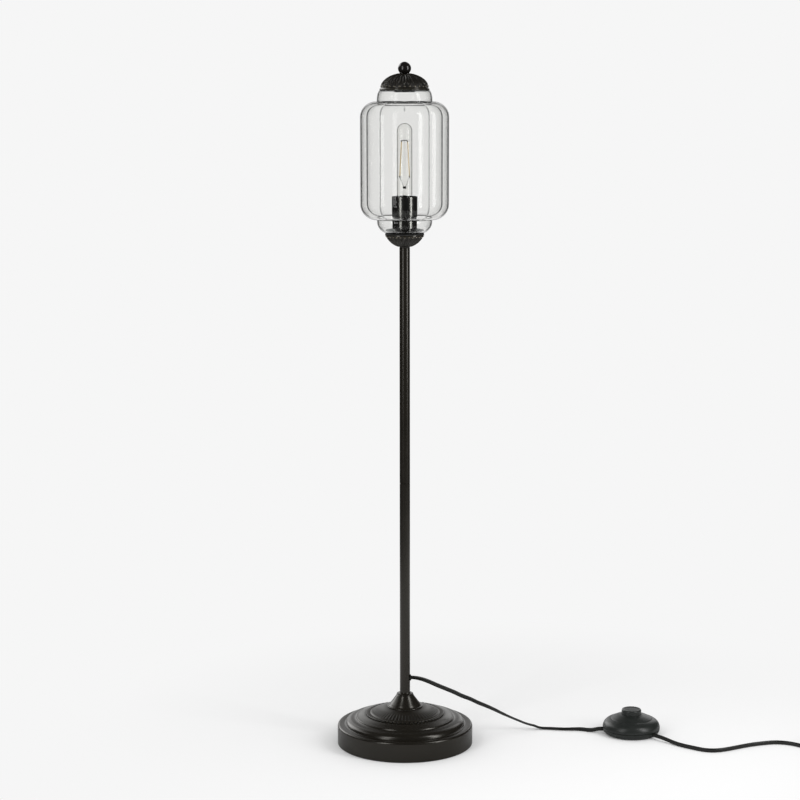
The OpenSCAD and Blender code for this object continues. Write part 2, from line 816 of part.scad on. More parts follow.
// From the foot switch to the coil
tail_route = concat(
    [on_exit(tail_start_r), on_exit(switch_r + 4)],
    [[480, 4, 7.6], [490, -6, 6.9], [500, -17, 5.8], [512, -30, 4.6], [524, -41, floor_z],
     [537, -51, floor_z], [551, -61, floor_z], [566, -65, floor_z], [582, -63, floor_z],
     [598, -56, floor_z], [614, -47, floor_z], [630, -38, floor_z], [646, -30, floor_z],
     [662, -24, floor_z], [678, -19, floor_z], [692, -17, floor_z], [706, -19, floor_z],
     [720, -25, floor_z], [733, -35, floor_z], [746, -46, floor_z]],
    [coil_in]
);

// From the coil to the plug
plug_x = 847;
plug_y = 44;
plug_mid_z = plug_t / 2;
neck_l = 18;
end_route = [coil_out, [850, -6, 11], [848, 8, 8.6], [plug_x, 18, plug_mid_z], [plug_x, plug_y - neck_l, plug_mid_z]];

// A tube of flat sides swept along the points of a route, its rings kept upright
function unit(v) = v / norm(v);
function along(route, i) =
    unit(route[min(i + 1, len(route) - 1)] - route[max(i - 1, 0)]);
function ring_at(route, i, r, sides) =
    let (
        t = along(route, i),
        side = unit(cross(t, [0, 0, 1])),
        up = cross(side, t)
    )
    [for (k = [0:sides - 1]) let (a = 360 * (k + 0.5) / sides) route[i] + r * (cos(a) * side + sin(a) * up)];

module swept(route, r, sides) {
    n = len(route);
    points = [for (i = [0:n - 1]) each ring_at(route, i, r, sides)];
    walls = [for (i = [0:n - 2]) each [for (k = [0:sides - 1])
        let (m = (k + 1) % sides)
        each [[i * sides + k, (i + 1) * sides + k, (i + 1) * sides + m],
              [i * sides + k, (i + 1) * sides + m, i * sides + m]]]];
    starts = [for (k = [1:sides - 2]) [0, k, k + 1]];
    ends = [for (k = [1:sides - 2]) [(n - 1) * sides, (n - 1) * sides + k + 1, (n - 1) * sides + k]];
    polyhedron(points = points, faces = concat(walls, starts, ends), convexity = 8);
}

module cord_lead() {
    color("#1b1b1b") swept(lead_route, cord_r, 8);
}

module cord_tail() {
    color("#1b1b1b") swept(tail_route, cord_r, 8);
}

module cord_coil() {
    color("#1b1b1b") swept(coil_route, cord_r, 6);
}

module cord_end() {
    color("#1b1b1b") swept(end_route, cord_r, 8);
}

// ---- Plug ----

module plug_body() {
    face_y = plug_y + plug_l;
    corner = 5;
    color("#1b1b1b")
    difference() {
        union() {
            linear_extrude(plug_t)
            polygon([
                [plug_x - 7, plug_y], [plug_x + 7, plug_y], [plug_x + plug_w / 2 - 2, plug_y + plug_l / 2],
                [plug_x + plug_w / 2, face_y - corner], [plug_x + plug_w / 2, face_y],
                [plug_x - plug_w / 2, face_y], [plug_x - plug_w / 2, face_y - corner],
                [plug_x - plug_w / 2 + 2, plug_y + plug_l / 2]
            ]);
            translate([plug_x, plug_y - neck_l, plug_mid_z])
            rotate([-90, 0, 0]) cylinder(r1 = cord_r + 1, r2 = plug_mid_z - 0.4, h = neck_l + 2);
        }
        for (side = [-1, 1])
            translate([plug_x + side * pin_pitch / 2, face_y - 12, plug_mid_z])
            rotate([-90, 0, 0]) cylinder(r = 2 + run_gap / 2, h = 13);
    }
}

module plug_pins() {
    color("#b9b9b9")
    for (side = [-1, 1])
        translate([plug_x + side * pin_pitch / 2, plug_y + plug_l - 12, plug_mid_z])
        rotate([-90, 0, 0]) cylinder(r = 2, h = 31);
}

// ---- Foot switch ----

module at_switch() {
    translate([switch_x, switch_y, 0]) children();
}

// The lead's way in and way out, cut through both shells
module cord_slots() {
    slot_r = cord_r + run_gap;
    translate([switch_x - switch_r - 5, entry_y, slot_z]) rotate([0, 90, 0]) cylinder(r = slot_r, h = 30);
    at_switch() rotate([0, 0, exit_turn]) translate([switch_r - 14, 0, slot_z]) rotate([0, 90, 0]) cylinder(r = slot_r, h = 30);
}

flange_t = 3;
cover_seat_h = switch_h - 3.5;
spring_seat_h = 12;
post_at = 37;
floor_t = 2.5;
button_cap_t = 4;

module switch_base() {
    color("#232323")
    difference() {
        at_switch()
        union() {
            difference() {
                rotate_extrude()
                polygon(concat(
                    [[0, 0], [switch_r - 8, 0]],
                    bend([switch_r - 8, 0], [switch_r - 1.5, 1.5], [switch_r, switch_part_h - 1], 5),
                    [[switch_r - 0.5, switch_part_h], [0, switch_part_h]]
                ));
                rotate_extrude()
                polygon([
                    [0, floor_t], [switch_r - 10, floor_t], [switch_r - switch_wall - 1.5, switch_part_h - 2],
                    [switch_r - switch_wall - 1.5, switch_part_h + 1], [0, switch_part_h + 1]
                ]);
            }
            cylinder(r = 11, h = spring_seat_h);
        }
        cord_slots();
        at_switch() for (side = [-1, 1]) translate([0, side * post_at, -1]) cylinder(r = 1.8 + run_gap, h = 10);
        at_switch() for (side = [-1, 1]) translate([0, side * post_at, -1]) cylinder(r = 3.5, h = 2.2);
    }
}

module switch_cover() {
    dome = concat(
        [[switch_r - 0.5, switch_part_h], [switch_r, switch_part_h + 1]],
        bend([switch_r, switch_part_h + 1], [switch_r - 0.4, switch_h - 12.5], [switch_r - 15, switch_h - 8.3], 7),
        bend([switch_r - 15.6, switch_h - 8.1], [switch_r - 24, switch_h - 3.2], [button_hole_r + 3, switch_h - 1.2], 4),
        [[button_hole_r + 1, switch_h]]
    );
    color("#232323")
    difference() {
        at_switch()
        union() {
            difference() {
                rotate_extrude() polygon(concat([[0, switch_part_h]], dome, [[0, switch_h]]));
                rotate_extrude()
                polygon([
                    [0, switch_part_h - 1], [switch_r - switch_wall - 1.5, switch_part_h - 1],
                    [switch_r - switch_wall - 1.8, switch_part_h + 5], [switch_r - 12, switch_h - 13.2],
                    [switch_r - 22, cover_seat_h - 3.8], [button_r + 4.6, cover_seat_h], [0, cover_seat_h]
                ]);
            }
            for (side = [-1, 1])
                translate([0, side * post_at, floor_t + loose_gap]) cylinder(r = 4, h = cover_seat_h - 6.5 - floor_t - loose_gap);
        }
        at_switch() cylinder(r = button_hole_r, h = switch_h + 1);
        at_switch() for (side = [-1, 1]) translate([0, side * post_at, 0]) cylinder(r = 1.8 + run_gap, h = 14);
        cord_slots();
    }
}

module switch_button() {
    flange_top = cover_seat_h - seat_gap;
    flange_z = flange_top - flange_t;
    color("#2c2c2c")
    at_switch()
    difference() {
        rotate_extrude()
        polygon(concat(
            [[0, flange_z], [button_r + 4, flange_z], [button_r + 4, flange_top], [button_r, flange_top]],
            bend([button_r, button_top_h - 4], [button_r - 0.2, button_top_h - 1.6], [button_r - 2.6, button_top_h - 1], 4),
            [[button_r - 5, button_top_h - 0.4], [0, button_top_h]]
        ));
        translate([0, 0, flange_z - 1]) cylinder(r = button_r - 4, h = button_top_h - button_cap_t - flange_z + 1);
    }
    color("#2c2c2c")
    at_switch()
    translate([0, 0, spring_seat_h + button_travel + 6]) cylinder(r = 4, h = button_top_h - spring_seat_h - button_travel - 8);
}

module switch_spring() {
    color("#b0b0b0")
    at_switch()
    translate([0, 0, spring_seat_h])
    difference() {
        cylinder(r = 8, h = button_top_h - button_cap_t - spring_seat_h);
        translate([0, 0, -1]) cylinder(r = 6.6, h = button_top_h);
    }
}

module switch_contacts() {
    color("#b08d57")
    at_switch()
    for (side = [-1, 1])
        translate([side * 22 - 4, -5, floor_t]) cube([8, 10, 7]);
}

module switch_clamps() {
    clamp_h = 11;
    color("#303030") {
        translate([clamp_in_x, entry_y - 6, floor_t]) cube([7, 12, clamp_h]);
        at_switch()
        rotate([0, 0, exit_turn])
        translate([tail_start_r - 7, -6, floor_t]) cube([7, 12, clamp_h]);
    }
}

module switch_screws() {
    color("#8f8f8f")
    at_switch()
    for (side = [-1, 1])
        translate([0, side * post_at, 0.2]) {
            cylinder(r = 3.2, h = 1);
            cylinder(r = 1.8, h = 13);
        }
}

base_shell();
base_weight();
base_pad();
base_stud();
base_nut();
base_washer();
rosette();
bell();
lower_tube();
upper_tube();
joint_sleeve();
tube_foot_plug();
tube_head_plug();
cord_bushing();
head_pipe();
cup();
glass_pad();
glass();
seat_washer();
holder_skirt();
holder_nut();
holder_core();
thread_shell();
centre_contact();
holder_sleeve();
bulb_glass();
bulb_stem();
filaments();
filament_wires();
bulb_cap();
bulb_insulator();
bulb_contact();
cap_dome();
cap_plate();
cap_boss();
cap_stud();
ball_finial();
cap_pad();
inner_cord();
cord_lead();
cord_tail();
cord_coil();
cord_end();
plug_body();
plug_pins();
switch_base();
switch_cover();
switch_button();
switch_spring();
switch_contacts();
switch_clamps();
switch_screws();
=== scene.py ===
import math

import bmesh
import bpy
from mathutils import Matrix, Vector


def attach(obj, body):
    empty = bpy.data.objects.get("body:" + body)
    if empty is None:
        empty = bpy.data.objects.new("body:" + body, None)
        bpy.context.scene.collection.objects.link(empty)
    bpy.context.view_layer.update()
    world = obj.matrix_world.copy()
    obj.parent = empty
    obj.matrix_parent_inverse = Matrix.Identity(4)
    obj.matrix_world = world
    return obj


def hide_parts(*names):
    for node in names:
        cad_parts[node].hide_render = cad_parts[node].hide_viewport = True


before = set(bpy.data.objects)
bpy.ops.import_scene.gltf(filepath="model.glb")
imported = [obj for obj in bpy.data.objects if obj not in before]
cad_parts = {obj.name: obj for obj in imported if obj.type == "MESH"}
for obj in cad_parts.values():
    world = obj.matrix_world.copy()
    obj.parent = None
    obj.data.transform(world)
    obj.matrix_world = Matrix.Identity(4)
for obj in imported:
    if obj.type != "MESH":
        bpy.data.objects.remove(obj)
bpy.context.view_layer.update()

# ---------------------------------------------------------------- camera
# The camera stands 3.9 m in front of the lamp, as high as the ball on its cap, and looks
# down by 8.7 degrees. It comes first, because it decides where the lead is seen.
TILT_DOWN, ROLL, PAN = 8.7, 0.06, -0.01


def put(name, data):
    """A new object for this data, in the scene."""
    made = bpy.data.objects.new(name, data)
    bpy.context.scene.collection.objects.link(made)
    return made


camera_data = bpy.data.cameras.new("camera")
camera_data.sensor_width = 36.0
camera_data.lens = 97.2
camera_data.clip_end = 60.0
camera = put("camera", camera_data)
camera.location = (-0.0088, -3.908, 1.247)
camera.rotation_euler = [math.radians(turn) for turn in (90.0 - TILT_DOWN, ROLL, PAN)]
bpy.context.scene.camera = camera
bpy.context.scene.view_settings.view_transform = "Standard"

# ---------------------------------------------------------------- lead
# The lead is a flat twin cord: two stranded cores side by side in soft black PVC, which
# is extruded round them with a groove along the middle. It is 7.8 mm wide and 4.1 thick,
# and it runs from the tube to the foot switch, and on to a coil and the plug.
MM = 0.001
LEAD_W = 7.8 * MM
CORE_R = 2.05 * MM
CORE_X = LEAD_W / 2 - CORE_R
# Each side of the lead is round for 115 degrees up and down, and the groove is what is left.
HALF_SIDE = 115
# A route point up to NEAR_FLOOR high is on the floor, and one FLOOR_BLEND above that is free.
FLOOR_GAP, NEAR_FLOOR, FLOOR_BLEND = 0.1 * MM, 4.2 * MM, 4 * MM


def linear(code):
    """An sRGB hex colour as linear red, green, blue and alpha."""
    parts = [int(code[k : k + 2], 16) / 255 for k in (1, 3, 5)]
    return [p / 12.92 if p <= 0.04045 else ((p + 0.055) / 1.055) ** 2.4 for p in parts] + [1.0]


def add(tree, kind, inputs=None, **settings):
    """A node of this kind with its settings; its inputs are values or other nodes' outputs."""
    node = tree.nodes.new(kind)
    for name, value in settings.items():
        setattr(node, name, value)
    for name, value in (inputs or {}).items():
        if isinstance(value, bpy.types.NodeSocket):
            tree.links.new(value, node.inputs[name])
        else:
            node.inputs[name].default_value = value
    return node


def new_material(name):
    """An empty material and its node tree."""
    made = bpy.data.materials.new(name)
    made.use_nodes = True
    made.node_tree.nodes.clear()
    return made, made.node_tree


def skin(name, rings, material, loop=False, crease=32.0):
    """A closed piece from rings of points in metres, each ring with as many points."""
    around, count = len(rings[0]), len(rings)
    faces = []
    for j in range(count if loop else count - 1):
        for i in range(around):
            k, m = (i + 1) % around, (j + 1) % count
            faces.append((j * around + i, j * around + k, m * around + k, m * around + i))
    if not loop:
        faces.append(tuple(reversed(range(around))))
        faces.append(tuple((count - 1) * around + i for i in range(around)))
    mesh = bpy.data.meshes.new(name)
    mesh.from_pydata([tuple(p) for ring in rings for p in ring], [], faces)
    work = bmesh.new()
    work.from_mesh(mesh)
    bmesh.ops.remove_doubles(work, verts=work.verts, dist=1e-6)
    if work.calc_volume(signed=True) < 0:
        bmesh.ops.reverse_faces(work, faces=work.faces)
    work.to_mesh(mesh)
    work.free()
    mesh.materials.append(material)
    mesh.shade_smooth()
    mesh.set_sharp_from_angle(angle=math.radians(crease))
    return put(name, mesh)


def fit(piece, body, slot, *nodes):
    """The piece moves with a body and stands for CAD nodes, which it hides; slot is not used."""
    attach(piece, body)
    if nodes:
        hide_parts(*nodes)
    return piece


def smooth_line(route, step):
    """Points about step apart on a smooth Catmull-Rom line through a route's points."""
    ends = [2 * route[0] - route[1]] + route + [2 * route[-1] - route[-2]]
    line = []
    for a, b, c, d in zip(ends, ends[1:], ends[2:], ends[3:]):
        parts = max(1, round((c - b).length / step))
        for k in range(parts):
            t = k / parts
            bent = (2 * a - 5 * b + 4 * c - d) * t * t + (3 * b - a - 3 * c + d) * t**3
            line.append(0.5 * (2 * b + (c - a) * t + bent))
    return line + [route[-1]]


def ease(t):
    """0 to 1 with no corner at either end."""
    t = min(max(t, 0.0), 1.0)
    return t * t * (3 - 2 * t)


def flat_lead(name, route, turns, material):
    """A flat lead along a route. turns is (distance, degrees): 0 lies flat, 90 stands on edge."""
    line = smooth_line([Vector(p) for p in route], 4 * MM)
    outline = [(CORE_X + CORE_R * math.cos(a), CORE_R * math.sin(a))
               for a in (math.radians(HALF_SIDE * (2 * k / 9 - 1)) for k in range(10))]
    outline += [(-x, -y) for x, y in outline]
    rings, middles, far = [], [], 0.0
    for k, here in enumerate(line):
        ahead = (line[min(k + 1, len(line) - 1)] - line[max(k - 1, 0)]).normalized()
        far += (here - line[k - 1]).length if k else 0.0
        side = ahead.cross(Vector((0, 0, 1)))
        side = side.normalized() if side.length > 0.02 else Vector((0, -1, 0))
        up = side.cross(ahead)
        turn = turns[0][1]
        for (s0, t0), (s1, t1) in zip(turns, turns[1:]):
            if far >= s0:
                turn = t0 + (t1 - t0) * ease((far - s0) / (s1 - s0))
        c, s = math.cos(math.radians(turn)), math.sin(math.radians(turn))
        low = CORE_X * abs(s) + CORE_R
        on_floor = 1 - ease((here.z - NEAR_FLOOR) / FLOOR_BLEND)
        middle = here - Vector((0, 0, (here.z - low - FLOOR_GAP) * on_floor))
        wide, thick = c * side + s * up, c * up - s * side
        rings.append([middle + x * wide + y * thick for x, y in outline])
        middles.append(middle)
    piece = skin(name, rings, material, crease=60.0)
    length = sum((b - a).length for a, b in zip(middles, middles[1:]))
    return piece, middles, length


def mottled(name, noise, colours, inputs, rough=None, grain=None):
    """A finish that a noise varies between two colours, and two roughnesses where rough is given.

    noise is (size in mm, detail), and grain is (size in mm, detail, strength, depth in mm) of a bump.
    """
    made, tree = new_material(name)
    place = add(tree, "ShaderNodeTexCoord")
    cloud = add(tree, "ShaderNodeTexNoise",
                {"Vector": place.outputs["Object"], "Scale": 1 / (noise[0] * MM), "Detail": noise[1]})
    tone = add(tree, "ShaderNodeMix",
               {0: cloud.outputs["Fac"], 6: linear(colours[0]), 7: linear(colours[1])}, data_type="RGBA")
    looks = {"Base Color": tone.outputs[2], **inputs}
    if rough:
        dull = add(tree, "ShaderNodeMapRange",
                   {"Value": cloud.outputs["Fac"], "To Min": rough[0], "To Max": rough[1]})
        looks["Roughness"] = dull.outputs["Result"]
    if grain:
        size, detail, strength, depth = grain
        fine = add(tree, "ShaderNodeTexNoise",
                   {"Vector": place.outputs["Object"], "Scale": 1 / (size * MM), "Detail": detail})
        bump = add(tree, "ShaderNodeBump",
                   {"Strength": strength, "Distance": depth * MM, "Height": fine.outputs["Fac"]})
        looks["Normal"] = bump.outputs["Normal"]
    shader = add(tree, "ShaderNodeBsdfPrincipled", looks)
    add(tree, "ShaderNodeOutputMaterial", {"Surface": shader.outputs["BSDF"]})
    return made


# Extruded PVC: near black, satin, with faint scuffs from the floor.
pvc = mottled("extruded_pvc", (3, 4), ("#0d0e0c", "#171814"), {"IOR": 1.5},
              rough=(0.3, 0.42), grain=(0.6, 2, 0.15, 0.05))

EXIT = (0.0115, 0.0, 0.125)
SLOT_Z = 0.008
FLOOR_Z = 0.0038
lead_route = [
    EXIT, (0.015, 0, 0.125), (0.023, 0.001, 0.1236), (0.034, 0.004, 0.120), (0.048, 0.009, 0.113),
    (0.062, 0.015, 0.105), (0.077, 0.021, 0.097), (0.092, 0.027, 0.089), (0.107, 0.033, 0.080),
    (0.123, 0.039, 0.072), (0.138, 0.045, 0.063), (0.153, 0.051, 0.055), (0.169, 0.057, 0.046),
    (0.184, 0.062, 0.037), (0.200, 0.067, 0.028), (0.216, 0.071, 0.020), (0.231, 0.074, 0.013),
    (0.247, 0.076, 0.008), (0.262, 0.077, 0.005), (0.277, 0.075, FLOOR_Z), (0.292, 0.072, FLOOR_Z),
    (0.307, 0.070, FLOOR_Z), (0.322, 0.069, FLOOR_Z), (0.336, 0.067, FLOOR_Z), (0.348, 0.062, 0.0046),
    (0.360, 0.058, 0.0066), (0.371, 0.056, SLOT_Z), (0.392, 0.056, SLOT_Z),
]
lead_to_switch, middles, lead_length = flat_lead(
    "lead_to_switch", lead_route,
    [(0, 60), (0.04, 85), (0.10, 90), (0.15, 62), (0.24, 12), (0.33, 35), (0.39, 90)], pvc)
fit(lead_to_switch, "stand", "cord", "cord_lead")

# The second stretch: over the floor, out of the picture, twice round a coil on the floor
# and twice back on top of it, and into the plug.
SWITCH = Vector((0.430, 0.056, 0.0))
EXIT_TURN = math.radians(-46)
COIL = Vector((0.803, -0.030, 0.0))
COIL_R, COIL_STEP, COIL_FROM, COIL_SWEEP = 0.049, 0.008, -130, 1575
COIL_RISE = 0.008


def on_exit(r):
    """The point at this distance from the switch's middle, on the way that the lead leaves by."""
    return (SWITCH.x + r * math.cos(EXIT_TURN), SWITCH.y + r * math.sin(EXIT_TURN), SLOT_Z)


def coil_point(s):
    """The point s degrees along the coil: it winds in on the floor, climbs, and winds out on top."""
    r = COIL_R - COIL_STEP * min(s, COIL_SWEEP - s) / 360
    a = math.radians(COIL_FROM + s)
    z = FLOOR_Z + COIL_RISE * ease((s - COIL_SWEEP / 2 + 90) / 180)
    return COIL + Vector((r * math.cos(a), r * math.sin(a), z))


def heading(a):
    """The way that the coil runs at an angle round it."""
    return Vector((-math.sin(math.radians(a)), math.cos(math.radians(a)), 0))


coil_in = coil_point(0) - LEAD_W * heading(COIL_FROM)
coil_out = coil_point(COIL_SWEEP) + LEAD_W * heading(COIL_FROM + COIL_SWEEP)
plug_route = [
    on_exit(0.042), on_exit(0.058), (0.480, 0.004, 0.0076), (0.490, -0.006, 0.0069),
    (0.500, -0.017, 0.0058), (0.512, -0.030, 0.0046), (0.524, -0.041, FLOOR_Z), (0.537, -0.051, FLOOR_Z),
    (0.551, -0.061, FLOOR_Z), (0.566, -0.065, FLOOR_Z), (0.582, -0.063, FLOOR_Z),
    (0.598, -0.056, FLOOR_Z), (0.614, -0.047, FLOOR_Z), (0.630, -0.038, FLOOR_Z),
    (0.646, -0.030, FLOOR_Z), (0.662, -0.024, FLOOR_Z), (0.678, -0.019, FLOOR_Z),
    (0.692, -0.017, FLOOR_Z), (0.706, -0.019, FLOOR_Z), (0.720, -0.025, FLOOR_Z),
    (0.733, -0.035, FLOOR_Z), (0.746, -0.046, FLOOR_Z), coil_in,
    *[coil_point(15 * k) for k in range(COIL_SWEEP // 15 + 1)], coil_out,
    (0.850, -0.006, 0.011), (0.848, 0.008, 0.0086), (0.847, 0.018, 0.0068), (0.847, 0.026, 0.0068),
]
lead_to_plug, middles, plug_lead_length = flat_lead(
    "lead_to_plug", plug_route,
    [(0, 75), (0.06, 84), (0.14, 90), (1.46, 90), (1.53, 0)], pvc)
fit(lead_to_plug, "stand", "cord", "cord_tail", "cord_coil", "cord_end")

# Inside the tube the lead hangs straight down from the lamp holder to its way out.
BEND_R, TOP_Z = 0.006, 0.9675
inside_route = [(0, 0, z) for z in (TOP_Z, 0.8, 0.6, 0.4, 0.2, 0.14)]
inside_route += [(BEND_R * (1 - math.cos(a)), 0, EXIT[2] + BEND_R * (1 - math.sin(a)))
                 for a in (math.radians(t) for t in (0, 30, 60, 90))]
inside_route.append((EXIT[0], 0, EXIT[2]))
lead_inside = flat_lead("lead_inside", inside_route, [(0, 0), (1, 0)], pvc)[0]
fit(lead_inside, "stand", "cord", "inner_cord")

# ---------------------------------------------------------------- plug
# A flat two-pin plug, moulded in black PVC onto the lead, with a ribbed sleeve that
# keeps the lead from kinking, and two nickel-plated pins.
PLUG = Vector((0.847, 0.044, 0.0068))
SLEEVE_L, SLEEVE_R, SLEEVE_GROWS, RIB = 18, 3.9, 1.9, 1.16


def oval(centre, across, high, power, count=40):
    """A ring in the XZ plane, from an ellipse at power 2 to a rounded box above it."""
    ring = []
    for k in range(count):
        a = 2 * math.pi * k / count
        c, s = math.cos(a), math.sin(a)
        x = math.copysign(abs(c) ** (2 / power), c) * across
        z = math.copysign(abs(s) ** (2 / power), s) * high
        ring.append(centre + Vector((x, 0, z)))
    return ring


plug_rings = []
for k in range(SLEEVE_L + 1):
    r = (SLEEVE_R + SLEEVE_GROWS * k / SLEEVE_L) * MM * (RIB if k % 3 == 1 else 1)
    plug_rings.append(oval(PLUG + Vector((0, (k - SLEEVE_L) * MM, 0)), r, r * 0.92, 2.2))
for y, across, high, power in (
    (1.5, 6.8, 5.9, 2.6), (6, 9.5, 6.3, 3), (12, 13.4, 6.5, 3.4), (18, 15.6, 6.6, 3.8), (24, 16.3, 6.65, 4),
    (30, 16.9, 6.7, 4.2), (31, 17.3, 6.75, 4.4), (35, 17.4, 6.75, 4.4), (35.8, 17, 6.4, 4.4),
    (36, 16.2, 5.8, 4.4),
):
    plug_rings.append(oval(PLUG + Vector((0, y * MM, 0)), across * MM, high * MM, power))
plug = fit(skin("plug", plug_rings, pvc, crease=50.0), "stand", "plug_plastic", "plug_body")

# Nickel plate: warm bright metal with faint drawing marks.
nickel = mottled("nickel_plate", (0.8, 3), ("#b9b5ab", "#d2cfc6"), {"Metallic": 1.0}, rough=(0.18, 0.34))

# ---------------------------------------------------------------- foot switch
# A round foot switch: a dished tray and a domed cover in satin black ABS, screwed
# together from below, with one large button that stands out of the cover.


def bow(a, b, c, steps):
    """Points on a curve from a to c that leaves and arrives along the lines to b."""
    return [tuple((1 - t) ** 2 * p + 2 * t * (1 - t) * q + t * t * r for p, q, r in zip(a, b, c))
            for t in (k / steps for k in range(steps + 1))]


def circle(r, z, around, centre=(0.0, 0.0)):
    """Points round an upright axis, at a radius and a height in mm."""
    return [Vector((centre[0] + r * MM * math.cos(a), centre[1] + r * MM * math.sin(a), z * MM))
            for a in (2 * math.pi * k / around for k in range(around))]


def turned(name, outline, material, centre=(0.0, 0.0), around=128, crease=32.0):
    """A turned piece from a closed outline of (radius, height) in mm."""
    rings = [circle(r, z, around, centre) for r, z in outline]
    return skin(name, rings, material, loop=True, crease=crease)


# Moulded ABS: dark grey, with a fine spark-eroded grain, about 0.4 mm, and a soft shine.
abs_plastic = mottled("moulded_abs", (18, 4), ("#1b1e1c", "#242725"),
                      {"IOR": 1.53, "Specular IOR Level": 0.4}, rough=(0.3, 0.4), grain=(0.4, 2, 0.25, 0.06))

SPOT = (SWITCH.x, SWITCH.y)
tray = turned("switch_tray", [
    (0, 0), (44, 0), *bow((46, 0), (52.5, 1.5), (54, 9.6), 8), (53.9, 10.2), (53.2, 10.7), (50.6, 10.7),
    (50.5, 9), (44, 2.5), (0, 2.5),
], abs_plastic, SPOT)
fit(tray, "stand", "switch_plastic", "switch_base")
cover = turned("switch_dome", [
    (50.6, 11), (53.1, 11), (53.7, 11.5), *bow((54, 12.2), (53.6, 25), (39.2, 29.2), 18),
    (38.8, 29.2), (38.5, 29.7), *bow((38, 30), (30, 34.3), (22.4, 36.3), 10), (21.2, 36.9), (19.4, 37.5),
    (18.8, 37.2), (18.6, 36.6), (18.6, 34), (23.1, 34), (32, 30.2), (42, 24.3), (50.2, 16),
], abs_plastic, SPOT)
fit(cover, "stand", "switch_plastic", "switch_cover")
button = turned("switch_button_top", [
    (0, 30.9), (22.5, 30.9), (22.5, 33.9), (18.5, 33.9), *bow((18.5, 43.6), (18.5, 46.4), (16.6, 46.9), 6),
    *bow((16.2, 46.9), (15.4, 46.9), (14.9, 46.4), 3), (13.5, 46.1), (11.6, 46.2), (0, 46.5),
], abs_plastic, SPOT)
fit(button, "button", "button_plastic", "switch_button")

# ---------------------------------------------------------------- base
# The base is a spun steel cover over a cast weight: an upright band, a rounded lip, a
# rolled shoulder and a small step, powder coated in a bronze that is nearly black.
COAT = {"IOR": 1.5, "Specular Tint": linear("#fffcf4")}
coated = mottled("bronze_powder_coat", (35, 5), ("#12100c", "#1a1712"), COAT,
                 rough=(0.2, 0.28), grain=(0.9, 2, 0.04, 0.05))
# The cover's flat top, on which the rosette sits.
SEAT_Z = 56.6
shell = turned("base_cover", [
    (124.5, 1), (125.7, 1), (126, 1.4), (126, 31.8), *bow((126, 32.6), (126, 37.9), (120.9, 37.9), 12),
    (115.6, 37.7), *bow((114.4, 37.6), (112.6, 37.5), (111.4, 38.4), 4),
    *bow((111.2, 38.9), (109.6, 46.6), (99, 47.9), 18), *bow((98, 48), (92.4, 48.6), (91.7, 49.8), 6),
    *bow((91.5, 50.2), (91.2, 52), (89.2, 52.2), 6), *bow((88, 52.4), (80, 55.2), (75.5, 56.3), 6),
    (73.5, SEAT_Z), (5, SEAT_Z), (5, 55.1), (72.5, 55.1), (88, 49.4), (97, 46.2), (107.5, 39.2),
    (112.5, 36.2), (122, 36.2), (124.5, 32.4),
], coated, around=192)
fit(shell, "stand", "bronze_paint", "base_shell")

# Raised work is in the same coat, rubbed back by hand: it stays black in the hollows and turns brown and
# shinier on the ridges.
# This is partly that real finish and partly painted shade in the hollows and a painted highlight on the
# ridges.
# The attribute "relief" is 0 in a hollow, 1 on a ridge.
rubbed_and_shaded, tree = new_material("rubbed_and_shaded_bronze_coat")
place = add(tree, "ShaderNodeTexCoord")
relief = add(tree, "ShaderNodeAttribute", attribute_name="relief")
grain = add(tree, "ShaderNodeTexNoise",
            {"Vector": place.outputs["Object"], "Scale": 1 / (1.2 * MM), "Detail": 3.0})
wear_and_shade = add(tree, "ShaderNodeMath", {0: relief.outputs["Fac"], 1: grain.outputs["Fac"]}, operation="MULTIPLY")
wear_and_shade = add(tree, "ShaderNodeMapRange", {"Value": wear_and_shade.outputs[0], "From Min": 0.1, "From Max": 0.5})
# Painted shade and highlight: black in the hollows, brown on the ridges.
tone = add(tree, "ShaderNodeMix", {0: wear_and_shade.outputs["Result"], 6: linear("#060504"), 7: linear("#221f19")},
           data_type="RGBA")
dull = add(tree, "ShaderNodeMapRange", {"Value": relief.outputs["Fac"], "To Min": 0.55, "To Max": 0.18})
shader = add(tree, "ShaderNodeBsdfPrincipled",
             {"Base Color": tone.outputs[2], "Roughness": dull.outputs["Result"], **COAT})
add(tree, "ShaderNodeOutputMaterial", {"Surface": shader.outputs["BSDF"]})


def mark_relief(piece, heights):
    """Keeps each point's height in the raised work, 0 to 1, for the rubbed coat and its painted shade."""
    assert len(heights) == len(piece.data.vertices), piece.name
    piece.data.attributes.new("relief", "FLOAT", "POINT").data.foreach_set("value", heights)


# The rosette is a pressed steel ring over the middle of the base: a flat rim cut into small
# teeth, a bead, and a dome with fine flutes, which turns smooth round the bell.
RIBS, PER_RIB, RIM_R, TEETH_R, CROWN_R, CROWN_Z = 56, 14, 72.5, 64.5, 34.0, 70.2
AROUND = RIBS * PER_RIB
RIM_H, BEAD_H, NOTCH, GAP_DEEP, FLUTE_DEEP = 2.2, 0.6, 0.8, 1.9, 1.3
